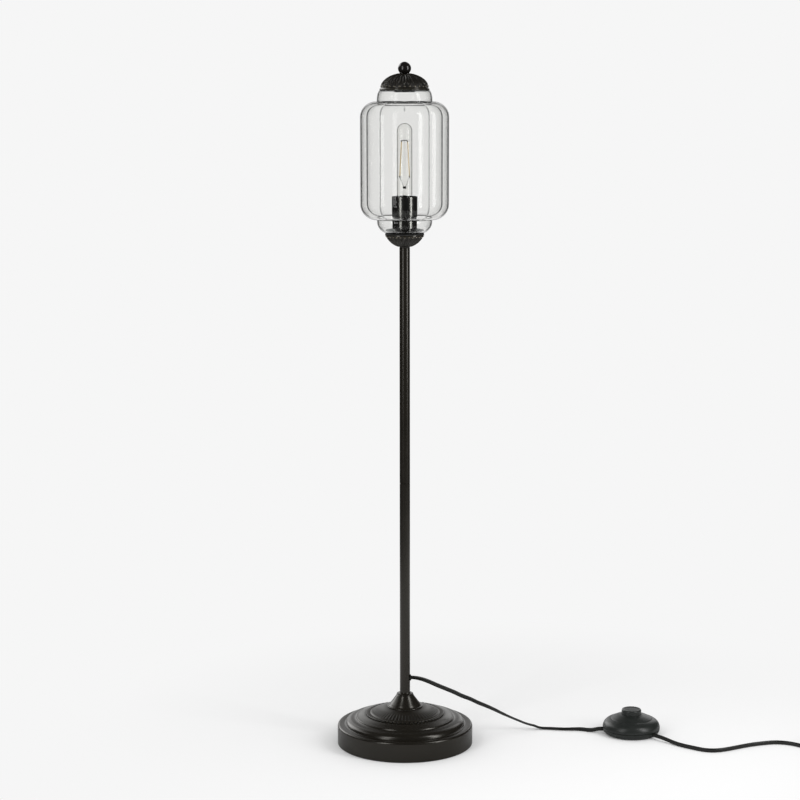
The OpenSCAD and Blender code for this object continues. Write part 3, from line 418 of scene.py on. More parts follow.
# The rim's rings: how far in from its edge to the bead, and how high. On the dome w runs from
# 0 at its foot to 1 at its crown, and on the rim it is -1, where no flute is cut.
RIM_RINGS = ((0, 1.2), (0.06, 1.7), (0.14, 2.0), (0.6, RIM_H), (0.86, RIM_H), (0.93, RIM_H))
DOME_RINGS = 43
rosette_rings, rosette_relief = [], []
for k in range(len(RIM_RINGS) + DOME_RINGS + 1):
    if k < len(RIM_RINGS):
        way_in, rise = RIM_RINGS[k]
        w, r, level = -1, RIM_R - (RIM_R - TEETH_R) * way_in, 0.75
    else:
        w = ((k - len(RIM_RINGS)) / DOME_RINGS) ** 1.15
        r = TEETH_R + (CROWN_R - TEETH_R) * w
        rise = RIM_H + (CROWN_Z - SEAT_Z - RIM_H) * (0.4 * w + 0.6 * math.sin(math.pi / 2 * w))
        rise += BEAD_H * math.exp(-(((w - 0.05) / 0.03) ** 2))
        level = 0.65
    ring = []
    for i in range(AROUND):
        t = abs(2 * (i / PER_RIB % 1) - 1)
        gap = 1 - ease((1 - t) * PER_RIB / 2 - 1.9) if k < 5 else 0
        flute = (1 - math.sqrt(1 - t * t)) * ease((0.8 - w) / 0.6) * ease((w - 0.08) / 0.05)
        a, inset = 2 * math.pi * i / AROUND, NOTCH * t**6 * (k < 2)
        ring.append(Vector(((r - inset) * math.cos(a), (r - inset) * math.sin(a),
                            SEAT_Z + rise - GAP_DEEP * gap * rise / RIM_H - FLUTE_DEEP * flute)) * MM)
        # The gaps between teeth and the flute hollows get relief 0, which paints the coat black there:
        # painted shade.
        rosette_relief.append(level * (1 - gap) * (1 - min(1.5 * flute, 1)))
    rosette_rings.append(ring)
for r, z in ((33, CROWN_Z), (5, CROWN_Z), (5, SEAT_Z), (RIM_R - 1, SEAT_Z)):
    rosette_rings.append(circle(r, z, AROUND))
    rosette_relief += [0.6] * AROUND
rosette = skin("rosette_ring", rosette_rings, rubbed_and_shaded, loop=True, crease=42.0)
mark_relief(rosette, rosette_relief)
fit(rosette, "stand", "bronze_paint", "rosette")

# A row of beads is one node tree: points on a circle, and on each point a stretched ball that
# is turned to face outwards. Its sizes and its count are the tree's inputs.
row_tree = bpy.data.node_groups.new("row_of_beads", "GeometryNodeTree")
ROW_SIZES = ("Row radius", "Height", "Half length", "Half width", "Half height")
for name in ROW_SIZES:
    row_tree.interface.new_socket(name, in_out="INPUT", socket_type="NodeSocketFloat")
row_tree.interface.new_socket("Count", in_out="INPUT", socket_type="NodeSocketInt")
row_tree.interface.new_socket("Finish", in_out="INPUT", socket_type="NodeSocketMaterial")
row_tree.interface.new_socket("Geometry", in_out="OUTPUT", socket_type="NodeSocketGeometry")
given = add(row_tree, "NodeGroupInput")
hoop = add(row_tree, "GeometryNodeMeshCircle",
           {"Vertices": given.outputs["Count"], "Radius": given.outputs["Row radius"]})
lift = add(row_tree, "ShaderNodeCombineXYZ", {"Z": given.outputs["Height"]})
lifted = add(row_tree, "GeometryNodeSetPosition",
             {"Geometry": hoop.outputs["Mesh"], "Offset": lift.outputs[0]})
ball_mesh = add(row_tree, "GeometryNodeMeshUVSphere", {"Segments": 14, "Rings": 8, "Radius": 1.0})
sizes = add(row_tree, "ShaderNodeCombineXYZ",
            {"X": given.outputs["Half length"], "Y": given.outputs["Half width"],
             "Z": given.outputs["Half height"]})
index = add(row_tree, "GeometryNodeInputIndex")
share = add(row_tree, "ShaderNodeMath", {0: index.outputs[0], 1: given.outputs["Count"]}, operation="DIVIDE")
angle = add(row_tree, "ShaderNodeMath", {0: share.outputs[0], 1: 2 * math.pi}, operation="MULTIPLY")
facing = add(row_tree, "ShaderNodeCombineXYZ", {"Z": angle.outputs[0]})
placed = add(row_tree, "GeometryNodeInstanceOnPoints",
             {"Points": lifted.outputs["Geometry"], "Instance": ball_mesh.outputs["Mesh"],
              "Rotation": facing.outputs[0], "Scale": sizes.outputs[0]})
real = add(row_tree, "GeometryNodeRealizeInstances", {"Geometry": placed.outputs["Instances"]})
done = add(row_tree, "GeometryNodeSetMaterial",
           {"Geometry": real.outputs["Geometry"], "Material": given.outputs["Finish"]})
add(row_tree, "NodeGroupOutput", {"Geometry": done.outputs["Geometry"]})


def bead_row(name, finish, count, *sizes):
    """A row of beads as a plain mesh; the sizes are those of ROW_SIZES, in mm."""
    maker = put(name + "_maker", bpy.data.meshes.new(name + "_maker"))
    nodes = maker.modifiers.new("row", "NODES")
    nodes.node_group = row_tree
    values = dict(zip(ROW_SIZES, (size * MM for size in sizes)), Count=count, Finish=finish)
    for socket in row_tree.interface.items_tree:
        if socket.in_out == "INPUT":
            nodes[socket.identifier] = values[socket.name]
    mesh = bpy.data.meshes.new_from_object(maker.evaluated_get(bpy.context.evaluated_depsgraph_get()))
    bpy.data.objects.remove(maker)
    mesh.name = name
    mesh.shade_smooth()
    return put(name, mesh)


# The bell is spun steel: a beaded foot, a flared waist and a small collar round the tube.
bell = turned("bell_cover", [
    (31.6, CROWN_Z), (32.8, CROWN_Z), (33.2, 70.7), (33.2, 71.2),
    *bow((33.1, 71.6), (32.6, 72.6), (31.2, 72.6), 4),
    *bow((30.6, 72.7), (29.5, 73.4), (28, 75.8), 6), *bow((28, 75.8), (20.2, 85.6), (15.8, 92.6), 12),
    (15.1, 93.4), *bow((15.2, 93.6), (15.9, 94.5), (14.9, 95.2), 5), (13.4, 95.4),
    *bow((12.8, 95.5), (10.6, 96), (10.1, 97.5), 5), (9.6, 97.5), (9.6, 94), (13.4, 91.6), (18.6, 84.4),
    (26.4, 74.4), (29.4, 71.4),
], coated)
fit(bell, "stand", "bronze_paint", "bell")

# The cast weight under the cover is grey iron, rough from the sand mould.
iron = mottled("cast_iron", (1.2, 5), ("#2b2a29", "#4a4846"), {"Metallic": 0.6, "Roughness": 0.7},
               grain=(1.2, 5, 0.7, 0.3))

# Pads and seals are black rubber, matt, cut from sheet.
rubber = mottled("sheet_rubber", (2, 4), ("#151515", "#242423"), {"Roughness": 0.82, "IOR": 1.52})

# Studs, nuts, washers and sleeves are steel with a bright zinc plate.
zinc, tree = new_material("zinc_plate")
place = add(tree, "ShaderNodeTexCoord")
spangle = add(tree, "ShaderNodeTexVoronoi", {"Vector": place.outputs["Object"], "Scale": 1 / (1.5 * MM)})
tone = add(tree, "ShaderNodeMix",
           {0: spangle.outputs["Distance"], 6: linear("#9b9d9d"), 7: linear("#bfc1c0")}, data_type="RGBA")
dull = add(tree, "ShaderNodeMapRange", {"Value": spangle.outputs["Distance"], "To Min": 0.3, "To Max": 0.5})
shader = add(tree, "ShaderNodeBsdfPrincipled",
             {"Base Color": tone.outputs[2], "Metallic": 1.0, "Roughness": dull.outputs["Result"]})
add(tree, "ShaderNodeOutputMaterial", {"Surface": shader.outputs["BSDF"]})

# ---------------------------------------------------------------- tube
# The tube is two lengths of 19 mm steel tube, joined end to end over an inner sleeve,
# with the same bronze coat. Each cut end is lightly eased, which leaves a fine line.
TUBE_R, BORE_R, EASED = 9.5, 8.3, 0.5
TUBE_JOINT, TUBE_TOP = 494.4, 927.8
for name, node, low, high in (("tube_lower", "lower_tube", CROWN_Z, TUBE_JOINT),
                              ("tube_upper", "upper_tube", TUBE_JOINT, TUBE_TOP)):
    tube = turned(name, [
        (BORE_R, low), (TUBE_R - EASED, low), (TUBE_R, low + EASED), (TUBE_R, high - EASED),
        (TUBE_R - EASED, high), (BORE_R, high),
    ], coated, around=96)
    fit(tube, "stand", "bronze_paint", node)

# ---------------------------------------------------------------- cup and cap
# The cup under the glass and the cap over it are thin cast covers with a raised pattern of
# leaves, a row of beads and a plain rim. They have the base's coat, rubbed back by hand, with painted shade
# in the hollows.
LEAVES, BEADS = 21, 28

# Gloss coat: the same bronze over steel that was polished first, for the ball and small parts.
polished = mottled("gloss_bronze_coat", (6, 4), ("#0c0b0a", "#13110f"), {"IOR": 1.5}, rough=(0.14, 0.22))

# The beads are pale, brushed bronze metal: a painted highlight that makes each bead shine as a bright dot.
bead_highlight = mottled("bead_highlight_bronze", (2.5, 2), ("#4a463f", "#a39c8e"), {"Metallic": 1.0, "Roughness": 0.34})

# The cap's seal is moulded silicone, milky and half clear, so that it hardly shows on glass.
silicone = mottled("milky_silicone", (5, 3), ("#d6d7d6", "#e2e3e2"),
                   {"Roughness": 0.45, "IOR": 1.42, "Transmission Weight": 0.6})


def leafwork(u, v):
    """Height, 0 to 1, of the pattern: u runs round the piece, v from its rim to its crown.

    Each leaf has a raised edge, a vein and ribs to its sides, with a small tip between two leaves.
    """
    across = abs((u * LEAVES) % 1 - 0.5) * 2
    wide = math.sin(math.pi * min(max((v - 0.14) / 0.8, 0), 1)) ** 0.7
    edge = math.exp(-(((wide - across) / 0.13) ** 2)) * (wide > 0.02)
    vein = math.exp(-((across / 0.12) ** 2)) * (0.2 < v < 0.9)
    between = abs((u * LEAVES + 0.5) % 1 - 0.5) * 2
    tip = math.exp(-((between / 0.2) ** 2) - ((v - 0.78) / 0.1) ** 2)
    side = abs(math.sin(math.pi * (v * 9 + across * 1.4))) * 0.35 * (across < wide)
    return min(max(edge, vein * 0.8, tip, side), 1.0) * ease((1 - v) / 0.08)


# On the way from the rim to the crown the plain rim ends at RIM_END, and the groove that
# the beads lie in at GROOVE_END. GROOVE and INSIDE are heights, as leafwork's are.
RIM_END, GROOVE_END, GROOVE, INSIDE = 0.03, 0.1, 0.1, 0.3
PER_LEAF = 32


def cast_cover(name, line, inner, relief):
    """A turned cover with leafwork on its outside; line is (radius, height, v) in mm."""
    around = LEAVES * PER_LEAF
    rings, heights = [], []
    for k, (r, z, v) in enumerate(line):
        before, after = line[max(k - 1, 0)], line[min(k + 1, len(line) - 1)]
        out = Vector((after[1] - before[1], before[0] - after[0]))
        out = out.normalized() if out.length else Vector((1, 0))
        if out.x < 0:
            out = -out
        ring = []
        for i in range(around):
            u = i / around
            worked = leafwork(u, v) if v > GROOVE_END else GROOVE if v > RIM_END else 1
            heights.append(worked)
            h = relief * (worked - 1)
            rr, zz, a = r + out.x * h, z + out.y * h, 2 * math.pi * u
            ring.append(Vector((rr * math.cos(a), rr * math.sin(a), zz)) * MM)
        rings.append(ring)
    for r, z in inner:
        rings.append(circle(r, z, around))
        heights += [INSIDE] * around
    cover = skin(name, rings, rubbed_and_shaded, loop=True, crease=60.0)
    mark_relief(cover, heights)
    return cover


CUP_BALL, CUP_LOW, CUP_TOP, CUP_STEPS, RELIEF = 38.14, TUBE_TOP, 952.0, 48, 1.2
cup_line = [(35.5, CUP_TOP, 0.0), (35.5, CUP_TOP - 1.6, 0.0)]
for k in range(CUP_STEPS + 1):
    v = k / CUP_STEPS
    a = math.radians(66.5 - 50.5 * v)
    cup_line.append((CUP_BALL * math.sin(a), CUP_LOW + CUP_BALL * (1 - math.cos(a)), v))
cup_line.append((10.5, CUP_LOW, 1.0))
cup = cast_cover("cup_cover", cup_line, [
    (5, CUP_LOW), (5, CUP_TOP), (10.9, CUP_TOP), (10.9, 935.9), (15.5, 935.9), (30.5, 944.7), (33.1, CUP_TOP),
], RELIEF)
cup_beads = bead_row("cup_beads", bead_highlight, BEADS, 33.4, 948.4, 1.3, 2.2, 1.1)
for piece in (cup, cup_beads):
    fit(piece, "stand", "bronze_paint", "cup")

CAP_R, CAP_H, CAP_Z, CAP_STEPS, STUD_R = 43.4, 28.0, 1213.1, 56, 3.1
# The rim hangs a little lower and wider than the solid's, so that it closes over the glass.
RIM_LOW = CAP_Z - 1.8
cap_line = [(CAP_R + 1.2, RIM_LOW, 0.0), (CAP_R + 1.7, RIM_LOW + 0.1, 0.0), (CAP_R + 1.8, RIM_LOW + 0.5, 0.0),
            (CAP_R + 1.7, CAP_Z - 0.4, 0.0), (CAP_R + 0.6, CAP_Z + 0.3, 0.0)]
for k in range(CAP_STEPS + 1):
    v = k / CAP_STEPS
    a = math.radians(84 * v)
    cap_line.append((CAP_R * math.cos(a), CAP_Z + 1.2 + (CAP_H - 1.2) * math.sin(a), v))
cap = cast_cover("cap_cover", cap_line, [
    (STUD_R, CAP_Z + CAP_H), (STUD_R, CAP_Z + 26.4), (16, CAP_Z + 24.6), (30, CAP_Z + 18.2),
    (38.4, CAP_Z + 10), (41.8, CAP_Z + 2), (CAP_R + 1.2, CAP_Z),
], RELIEF)
cap_beads = bead_row("cap_beads", bead_highlight, BEADS, 42.2, CAP_Z + 4.4, 1.4, 2.2, 1.4)
for piece in (cap, cap_beads):
    fit(piece, "cap", "bronze_paint", "cap_dome")

# The ball is turned steel on a short neck, and screws the cap down.
BALL_R, BALL_Z = 11.8, 1249.1
ball = turned("ball", [
    (STUD_R, CAP_Z + CAP_H), (7.6, CAP_Z + CAP_H - 0.1), (7.4, CAP_Z + CAP_H + 1.0),
    *[(BALL_R * math.cos(a), BALL_Z + BALL_R * math.sin(a))
      for a in (math.radians(-48 + 138 * k / 30) for k in range(30))],
    (0, BALL_Z + BALL_R), (0, BALL_Z), (STUD_R, BALL_Z),
], polished)
fit(ball, "cap", "bronze_paint", "ball_finial")

# ---------------------------------------------------------------- glass
# The shade is clear soda-lime glass, blown into a mould with five lobes. Round necks join
# the lobes above and below, and the wall is 2.5 mm thick.
LOBES, LOBE_R, LOBE_OUT, LOBE_ROUND = 5, 54.4, 26.9, 28.0
NECK_R, LOW_NECK, TOP_NECK, WALL = 50.0, (21.0, 21.0), (8.0, 19.0), 2.5
GLASS_Z0, LOBE_Z0, LOBE_Z1, GLASS_Z1 = 954.0, 979.0, 1190.5, 1212.0
LOW_HOLE, TOP_HOLE = 12.0, 20.0
PER_LOBE = 48
# A half line has a point at the hole, the neck's bend, point MEET where the neck meets the
# lobe, and the lobe's bend.
NECK_STEPS, BEND_STEPS = 8, 14
MEET = NECK_STEPS + 2


def half_line(phi, wall, hole, end_z, lobe_z, shoulder, sign):
    """(radius, height) from a neck's hole to the lobes' straight wall, phi from a lobe's middle."""
    neck, (wide, high) = NECK_R - wall, shoulder
    line = [(hole, end_z + sign * wall)]
    for k in range(NECK_STEPS + 1):
        t = math.radians(90 * k / NECK_STEPS)
        line.append((NECK_R - wide + (wide - wall) * math.sin(t),
                     end_z + sign * (wall + (high - wall) * (1 - math.cos(t)))))
    c, s = LOBE_OUT * math.cos(phi), LOBE_OUT * math.sin(phi)
    flat, bend = LOBE_R - LOBE_ROUND, LOBE_ROUND - wall
    meet = max(math.hypot(neck - c, s) - flat, 0)
    u0 = math.asin(min(meet / bend, 1))
    line.append((neck, lobe_z + sign * (wall + bend * (1 - math.cos(u0)))))
    for k in range(1, BEND_STEPS + 1):
        u = u0 + (math.pi / 2 - u0) * (k / BEND_STEPS) ** 1.3
        rho = flat + bend * math.sin(u)
        line.append((c + math.sqrt(rho * rho - s * s), lobe_z + sign * (wall + bend * (1 - math.cos(u)))))
    return line


# Where two lobes meet, and where the lobes meet a neck, the glass is painted grey: painted shade in place of
# the dark lines that the bent glass shows there.
# Each point's UV holds its distance from those two lines, in metres.
HALF_LOBE = math.pi / LOBES
VALLEY_ROUND = math.radians(1.1)
FAR_MM = 40.0
glass_lines, glass_shade_lines = [], []
for i in range(LOBES * PER_LOBE):
    lobe, step = divmod(i, PER_LOBE)
    t = 2 * step / PER_LOBE - 1
    near = HALF_LOBE * abs(t) ** 1.5
    turn = 2 * HALF_LOBE * (lobe + 0.5) + math.copysign(near, t)
    phi = HALF_LOBE - math.sqrt(near**2 + VALLEY_ROUND**2)
    line, seams = [], []
    for wall in (0.0, WALL):
        low = half_line(phi, wall, LOW_HOLE, GLASS_Z0, LOBE_Z0, LOW_NECK, 1)
        high = half_line(phi, wall, TOP_HOLE, GLASS_Z1, LOBE_Z1, TOP_NECK, -1)
        whole = low + high[::-1]
        marks = []
        for half in (low, high):
            mark = [math.dist(point, half[MEET]) for point in half]
            marks += mark if half is low else mark[::-1]
        on_lobe = [MEET < k < len(whole) - 1 - MEET for k in range(len(whole))]
        pairs = [(near * r if on else FAR_MM, mark) for (r, z), mark, on in zip(whole, marks, on_lobe)]
        line += whole if wall == 0 else whole[::-1]
        seams += pairs if wall == 0 else pairs[::-1]
    a = turn - math.pi / 2
    glass_lines.append([Vector((r * math.cos(a), r * math.sin(a), z)) * MM for r, z in line])
    glass_shade_lines.append(seams)


def finish_glass(tree, body, filtered):
    """Glass bends and mirrors what is seen sharply, and lets soft light straight through, filtered."""
    through = add(tree, "ShaderNodeBsdfTransparent", {"Color": linear(filtered)})
    ray = add(tree, "ShaderNodeLightPath")
    sharp = add(tree, "ShaderNodeMath", {0: ray.outputs["Is Camera Ray"], 1: ray.outputs["Is Singular Ray"]},
                operation="MAXIMUM")
    both = add(tree, "ShaderNodeMixShader",
               {0: sharp.outputs[0], 1: through.outputs["BSDF"], 2: body.outputs["BSDF"]})
    add(tree, "ShaderNodeOutputMaterial", {"Surface": both.outputs["Shader"]})


# Blown soda-lime glass is smooth and clear. Its colour is painted grey along the lines between lobes and
# where it is seen edge-on: painted shade.
# It mirrors the room at a quarter of its strength, because the real room is paler all round.
clear, tree = new_material("soda_lime_glass")
place = add(tree, "ShaderNodeTexCoord")
parts = add(tree, "ShaderNodeSeparateXYZ", {0: place.outputs["UV"]})
# The painted shade along a line between lobes is dark to 0.8 mm from the line and gone at 2 mm, and fades
# near a neck.
valley_shade, blend, waist_shade = (
    add(tree, "ShaderNodeMapRange",
        {"Value": parts.outputs[axis], "From Min": start * MM, "From Max": end * MM,
         "To Min": first, "To Max": last}, interpolation_type="SMOOTHSTEP").outputs["Result"]
    for axis, start, end, first, last in (
        ("X", 0.8, 2.0, 1.0, 0.0), ("Y", 10, 26, 0.1, 1.0), ("Y", 0.2, 1.6, 0.5, 0.0))
)
valley_shade = add(tree, "ShaderNodeMath", {0: valley_shade, 1: blend}, operation="MULTIPLY")
line_shade = add(tree, "ShaderNodeMath", {0: valley_shade.outputs[0], 1: waist_shade}, operation="MAXIMUM")
edge_on = add(tree, "ShaderNodeLayerWeight", {"Blend": 0.5})
slant = add(tree, "ShaderNodeMapRange",
            {"Value": edge_on.outputs["Facing"], "From Min": 0.05, "From Max": 0.2},
            interpolation_type="SMOOTHSTEP")
line_shade = add(tree, "ShaderNodeMath", {0: line_shade.outputs[0], 1: slant.outputs["Result"]}, operation="MULTIPLY")
# Painted shade at the silhouette: the glass is painted grey where it is seen edge-on.
edge = add(tree, "ShaderNodeMapRange",
           {"Value": edge_on.outputs["Facing"], "From Min": 0.8, "From Max": 1.0},
           interpolation_type="SMOOTHSTEP")
painted_shade = add(tree, "ShaderNodeMath", {0: line_shade.outputs[0], 1: edge.outputs["Result"]}, operation="MAXIMUM")
# The painted shade turns the glass's colour from clear to grey.
tone = add(tree, "ShaderNodeMix",
           {0: painted_shade.outputs[0], 6: linear("#f5f5f4"), 7: linear("#727474")}, data_type="RGBA")
body = add(tree, "ShaderNodeBsdfPrincipled",
           {"Base Color": tone.outputs[2], "Roughness": 0.0, "IOR": 1.5, "Transmission Weight": 1.0,
            "Specular Tint": (0.25, 0.25, 0.25, 1.0)})
finish_glass(tree, body, "#eef0ef")

shade = skin("lobed_shade", list(zip(*glass_lines)), clear, loop=True, crease=30.0)
# The UV map carries the distances for the painted shade lines.
shade_line_map = shade.data.uv_layers.new(name="seams")
shade_line_list = [pair for ring in zip(*glass_shade_lines) for pair in ring]
for corner in shade.data.loops:
    shade_line_map.data[corner.index].uv = [d * MM for d in shade_line_list[corner.vertex_index]]
fit(shade, "stand", "clear_glass", "glass")

# ---------------------------------------------------------------- lamp holder
# The holder is a threaded skirt and a sleeve of drawn brass over a moulded core. Both are
# polished and plated in black nickel, and stand on a dished washer that holds the glass down.
black_nickel = mottled("black_nickel_plate", (9, 3), ("#6b6967", "#767472"), {"Metallic": 1.0},
                       rough=(0.16, 0.24))

WASHER_Z, SKIRT_Z, SLEEVE_Z, SHELL_R = 956.5, 962.0, 978.9, 21.3
washer = turned("seat_plate", [
    (5, WASHER_Z), (27, WASHER_Z), (34.6, 957.9), (35, 958.3), (34.8, 959.1), (33.6, 959.3), (24.6, 961.2),
    (23, SKIRT_Z), (5, SKIRT_Z),
], polished)
fit(washer, "stand", "bronze_paint_dark", "seat_washer")
skirt = turned("holder_lower", [
    (5, SKIRT_Z), (21.6, SKIRT_Z), (22.2, 962.5), (22.3, 963.2), (22.3, 977.6), (22, 978.3),
    (21.5, SLEEVE_Z), (SHELL_R, SLEEVE_Z), (SHELL_R, 963), (5, 963),
], black_nickel)
fit(skirt, "stand", "holder_metal", "holder_skirt")
sleeve = turned("holder_upper", [
    (SHELL_R, SLEEVE_Z), (21.7, SLEEVE_Z), (21.7, 980.4), (22.7, 980.6), (23.2, 981.2), (23.3, 982),
    (23.3, 1019.8), (23.1, 1020.5), (22.7, 1020.8), (22.4, 1020.6), (22.3, 1020), (22.3, 981.5),
    (SHELL_R, 981.5),
], black_nickel)
fit(sleeve, "stand", "holder_metal", "holder_sleeve")

# The core is black phenolic, moulded, slightly shiny.
phenolic = mottled("moulded_phenolic", (1, 3), ("#131211", "#221f1c"), {"Roughness": 0.4, "IOR": 1.6})

# Contacts and the threaded shell are bare pressed brass.
brass = mottled("pressed_brass", (4, 4), ("#9c7a3c", "#c9a55c"), {"Metallic": 1.0, "Roughness": 0.32})

# ---------------------------------------------------------------- bulb
# A tubular bulb of thin clear glass on a screw cap, with a glass stem that carries two
# filament strips under a yellow phosphor coat, on drawn wires.
BULB_R, BULB_WALL, NECK_Z, TIP_Z = 13.9, 1.0, 1010.3, 1152.1
bulb_out = bow((12.2, NECK_Z), (12.2, NECK_Z + 2.5), (12.6, NECK_Z + 6), 4)
bulb_out += bow((12.6, NECK_Z + 6), (BULB_R, NECK_Z + 7), (BULB_R, NECK_Z + 12), 5)
bulb_in = [(r - BULB_WALL, z) for r, z in bulb_out]
dome_out, dome_in = ([(r * math.cos(a), TIP_Z - BULB_R + r * math.sin(a))
                      for a in (math.radians(90 * k / 16) for k in range(17))]
                     for r in (BULB_R, BULB_R - BULB_WALL))
# Thin blown glass. An IOR of 1.3, under real glass's, keeps its dark edge lines fine.
thin, tree = new_material("thin_clear_glass")
body = add(tree, "ShaderNodeBsdfPrincipled",
           {"Base Color": linear("#fdfdfc"), "Roughness": 0.0, "IOR": 1.3, "Transmission Weight": 1.0})
finish_glass(tree, body, "#f4f5f5")
envelope = turned("bulb_envelope", bulb_out + dome_out + dome_in[::-1] + bulb_in[::-1], thin, around=96)
fit(envelope, "bulb", "bulb_glass", "bulb_glass")
STEM_Z, STRIP_TOP = 1038.3, 1120.2
stem = turned("bulb_mount", [
    (0, NECK_Z), (11.1, NECK_Z), (11.1, NECK_Z + 1.2),
    *bow((11.1, NECK_Z + 1.2), (3.4, NECK_Z + 3), (3.2, NECK_Z + 12), 8), (2.6, STEM_Z - 3),
    *bow((2.6, STEM_Z - 2.4), (2.4, STEM_Z), (1.2, STEM_Z), 4), (1.2, STRIP_TOP - 3),
    (0.8, STRIP_TOP - 1.4), (0, STRIP_TOP - 1.4),
], thin, around=48)
fit(stem, "bulb", "bulb_glass", "bulb_stem")

# Phosphor: silicone with yellow powder in it, over a row of tiny chips.
phosphor, tree = new_material("phosphor_silicone")
place = add(tree, "ShaderNodeTexCoord")
chips = add(tree, "ShaderNodeTexWave", {"Vector": place.outputs["Object"], "Scale": 1 / (2.2 * MM)},
            wave_type="BANDS", bands_direction="Z")
tone = add(tree, "ShaderNodeMix", {0: chips.outputs["Fac"], 6: linear("#dcb67a"), 7: linear("#e9d0a0")},
           data_type="RGBA")
shader = add(tree, "ShaderNodeBsdfPrincipled",
             {"Base Color": tone.outputs[2], "Roughness": 0.45, "IOR": 1.42})
add(tree, "ShaderNodeOutputMaterial", {"Surface": shader.outputs["BSDF"]})

# The wires are drawn molybdenum, oxidised dark, with a small clip on each end of a strip, a
# wire that joins the strips at the top, and a bead where the wires leave the stem.
dark_wire = mottled("oxidised_wire", (0.7, 2), ("#1d1c1b", "#35322f"), {"Metallic": 0.7, "Roughness": 0.45})


def rod(name, route, radius, material):
    """A thin round rod along a route of points in mm."""
    line = [Vector(p) * MM for p in route]
    rings = []
    for k, here in enumerate(line):
        ahead = (line[min(k + 1, len(line) - 1)] - line[max(k - 1, 0)]).normalized()
        side = ahead.cross(Vector((0, 1, 0))).normalized()
        up = side.cross(ahead)
        rings.append([here + (side * math.cos(a) + up * math.sin(a)) * radius * MM
                      for a in (2 * math.pi * i / 10 for i in range(10))])
    return skin(name, rings, material, crease=50.0)


STRIP_FOOT, STRIP_HEAD, STRIP_FOOT_Z = 8.7, 5.6, 1055.3
CLIP_L, CLIP_R, WIRE_R = 2.6, 1.15, 0.4
slope = (STRIP_HEAD - STRIP_FOOT) / (STRIP_TOP - STRIP_FOOT_Z)
for side, label in ((-1, "left"), (1, "right")):
    for end, low in (("foot", STRIP_FOOT_Z - 0.6), ("head", STRIP_TOP - 2.0)):
        route = [(side * (STRIP_FOOT + slope * (z - STRIP_FOOT_Z)), 0, z) for z in (low, low + CLIP_L)]
        clip = rod(f"clip_{label}_{end}", route, CLIP_R, dark_wire)
        fit(clip, "bulb", "wire")
link = rod("strip_link", [
    (-STRIP_HEAD, 0, STRIP_TOP), (-4, 0, STRIP_TOP + 1.2), (0, 0, STRIP_TOP + 1.6), (4, 0, STRIP_TOP + 1.2),
    (STRIP_HEAD, 0, STRIP_TOP),
], WIRE_R, dark_wire)
fit(link, "bulb", "wire")
BEAD_R, BEAD_Z, BEAD_TOP = 3.3, 1034.6, 1038.6
bead = turned("stem_bead", [
    (0, BEAD_Z), *bow((1.6, BEAD_Z), (BEAD_R, 1034.8), (BEAD_R, 1036.6), 5),
    *bow((BEAD_R, 1036.6), (BEAD_R, 1038.4), (1.6, BEAD_TOP), 5), (0, BEAD_TOP),
], dark_wire, around=32)
fit(bead, "bulb", "wire")

# The bulb's seal is black glass, poured.
black_glass = mottled("black_glass", (3, 2), ("#0d0f14", "#181b22"), {"Roughness": 0.12, "IOR": 1.52})

# ---------------------------------------------------------------- finishes of the plain parts
# Parts whose solids are right as they are, most of them out of sight, get their real finish.
finishes = (
    (iron, "base_weight"), (rubber, "base_pad glass_pad"), (silicone, "cap_pad"), (pvc, "cord_bushing"),
    (zinc, "base_stud base_nut base_washer joint_sleeve tube_foot_plug tube_head_plug head_pipe"),
    (zinc, "holder_nut cap_stud switch_spring switch_screws"), (phenolic, "holder_core"),
    (brass, "thread_shell centre_contact switch_contacts"), (abs_plastic, "switch_clamps"),
    (nickel, "plug_pins bulb_cap bulb_contact"), (dark_wire, "filament_wires"), (phosphor, "filaments"),
    (black_glass, "bulb_insulator"), (polished, "cap_plate cap_boss"),
)
for finish, nodes in finishes:
    for node in nodes.split():
        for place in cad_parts[node].material_slots:
            place.material = finish

# ---------------------------------------------------------------- studio
# A round sheet of pale paper that fades into the background, with a tall softbox on either
# side of the camera. The one on the right is nearer to the lamp's side, and brighter.
FLOOR_R, FLOOR_MID, FLOOR_SIDES = 1600, (0.2, 0.0), 120
floor_mesh = bpy.data.meshes.new("studio_floor")
floor_mesh.from_pydata(circle(FLOOR_R, 0, FLOOR_SIDES, FLOOR_MID), [], [tuple(range(FLOOR_SIDES))])
floor_piece = put("studio_floor", floor_mesh)
PALE = "#f6f6f6"
paper, tree = new_material("paper_floor")
place = add(tree, "ShaderNodeTexCoord")
off = add(tree, "ShaderNodeVectorMath", {0: place.outputs["Object"], 1: (*FLOOR_MID, 0.0)},
          operation="DISTANCE")
fade = add(tree, "ShaderNodeMapRange", {"Value": off.outputs["Value"], "From Min": 0.25, "From Max": 0.9},
           interpolation_type="SMOOTHSTEP")
lit = add(tree, "ShaderNodeBsdfDiffuse", {"Color": linear("#f3f3f3")})
glow = add(tree, "ShaderNodeEmission", {"Color": linear(PALE), "Strength": 1.0})
ray = add(tree, "ShaderNodeLightPath")
seen = add(tree, "ShaderNodeMath", {0: ray.outputs["Is Camera Ray"], 1: ray.outputs["Is Glossy Ray"]},
           operation="MAXIMUM")
seen = add(tree, "ShaderNodeMath", {0: seen.outputs[0], 1: ray.outputs["Is Transmission Ray"]},
           operation="MAXIMUM")
share = add(tree, "ShaderNodeMath", {0: seen.outputs[0], 1: fade.outputs["Result"]}, operation="MULTIPLY")
both = add(tree, "ShaderNodeMixShader",
           {0: share.outputs[0], 1: lit.outputs["BSDF"], 2: glow.outputs["Emission"]})
add(tree, "ShaderNodeOutputMaterial", {"Surface": both.outputs["Shader"]})
floor_mesh.materials.append(paper)

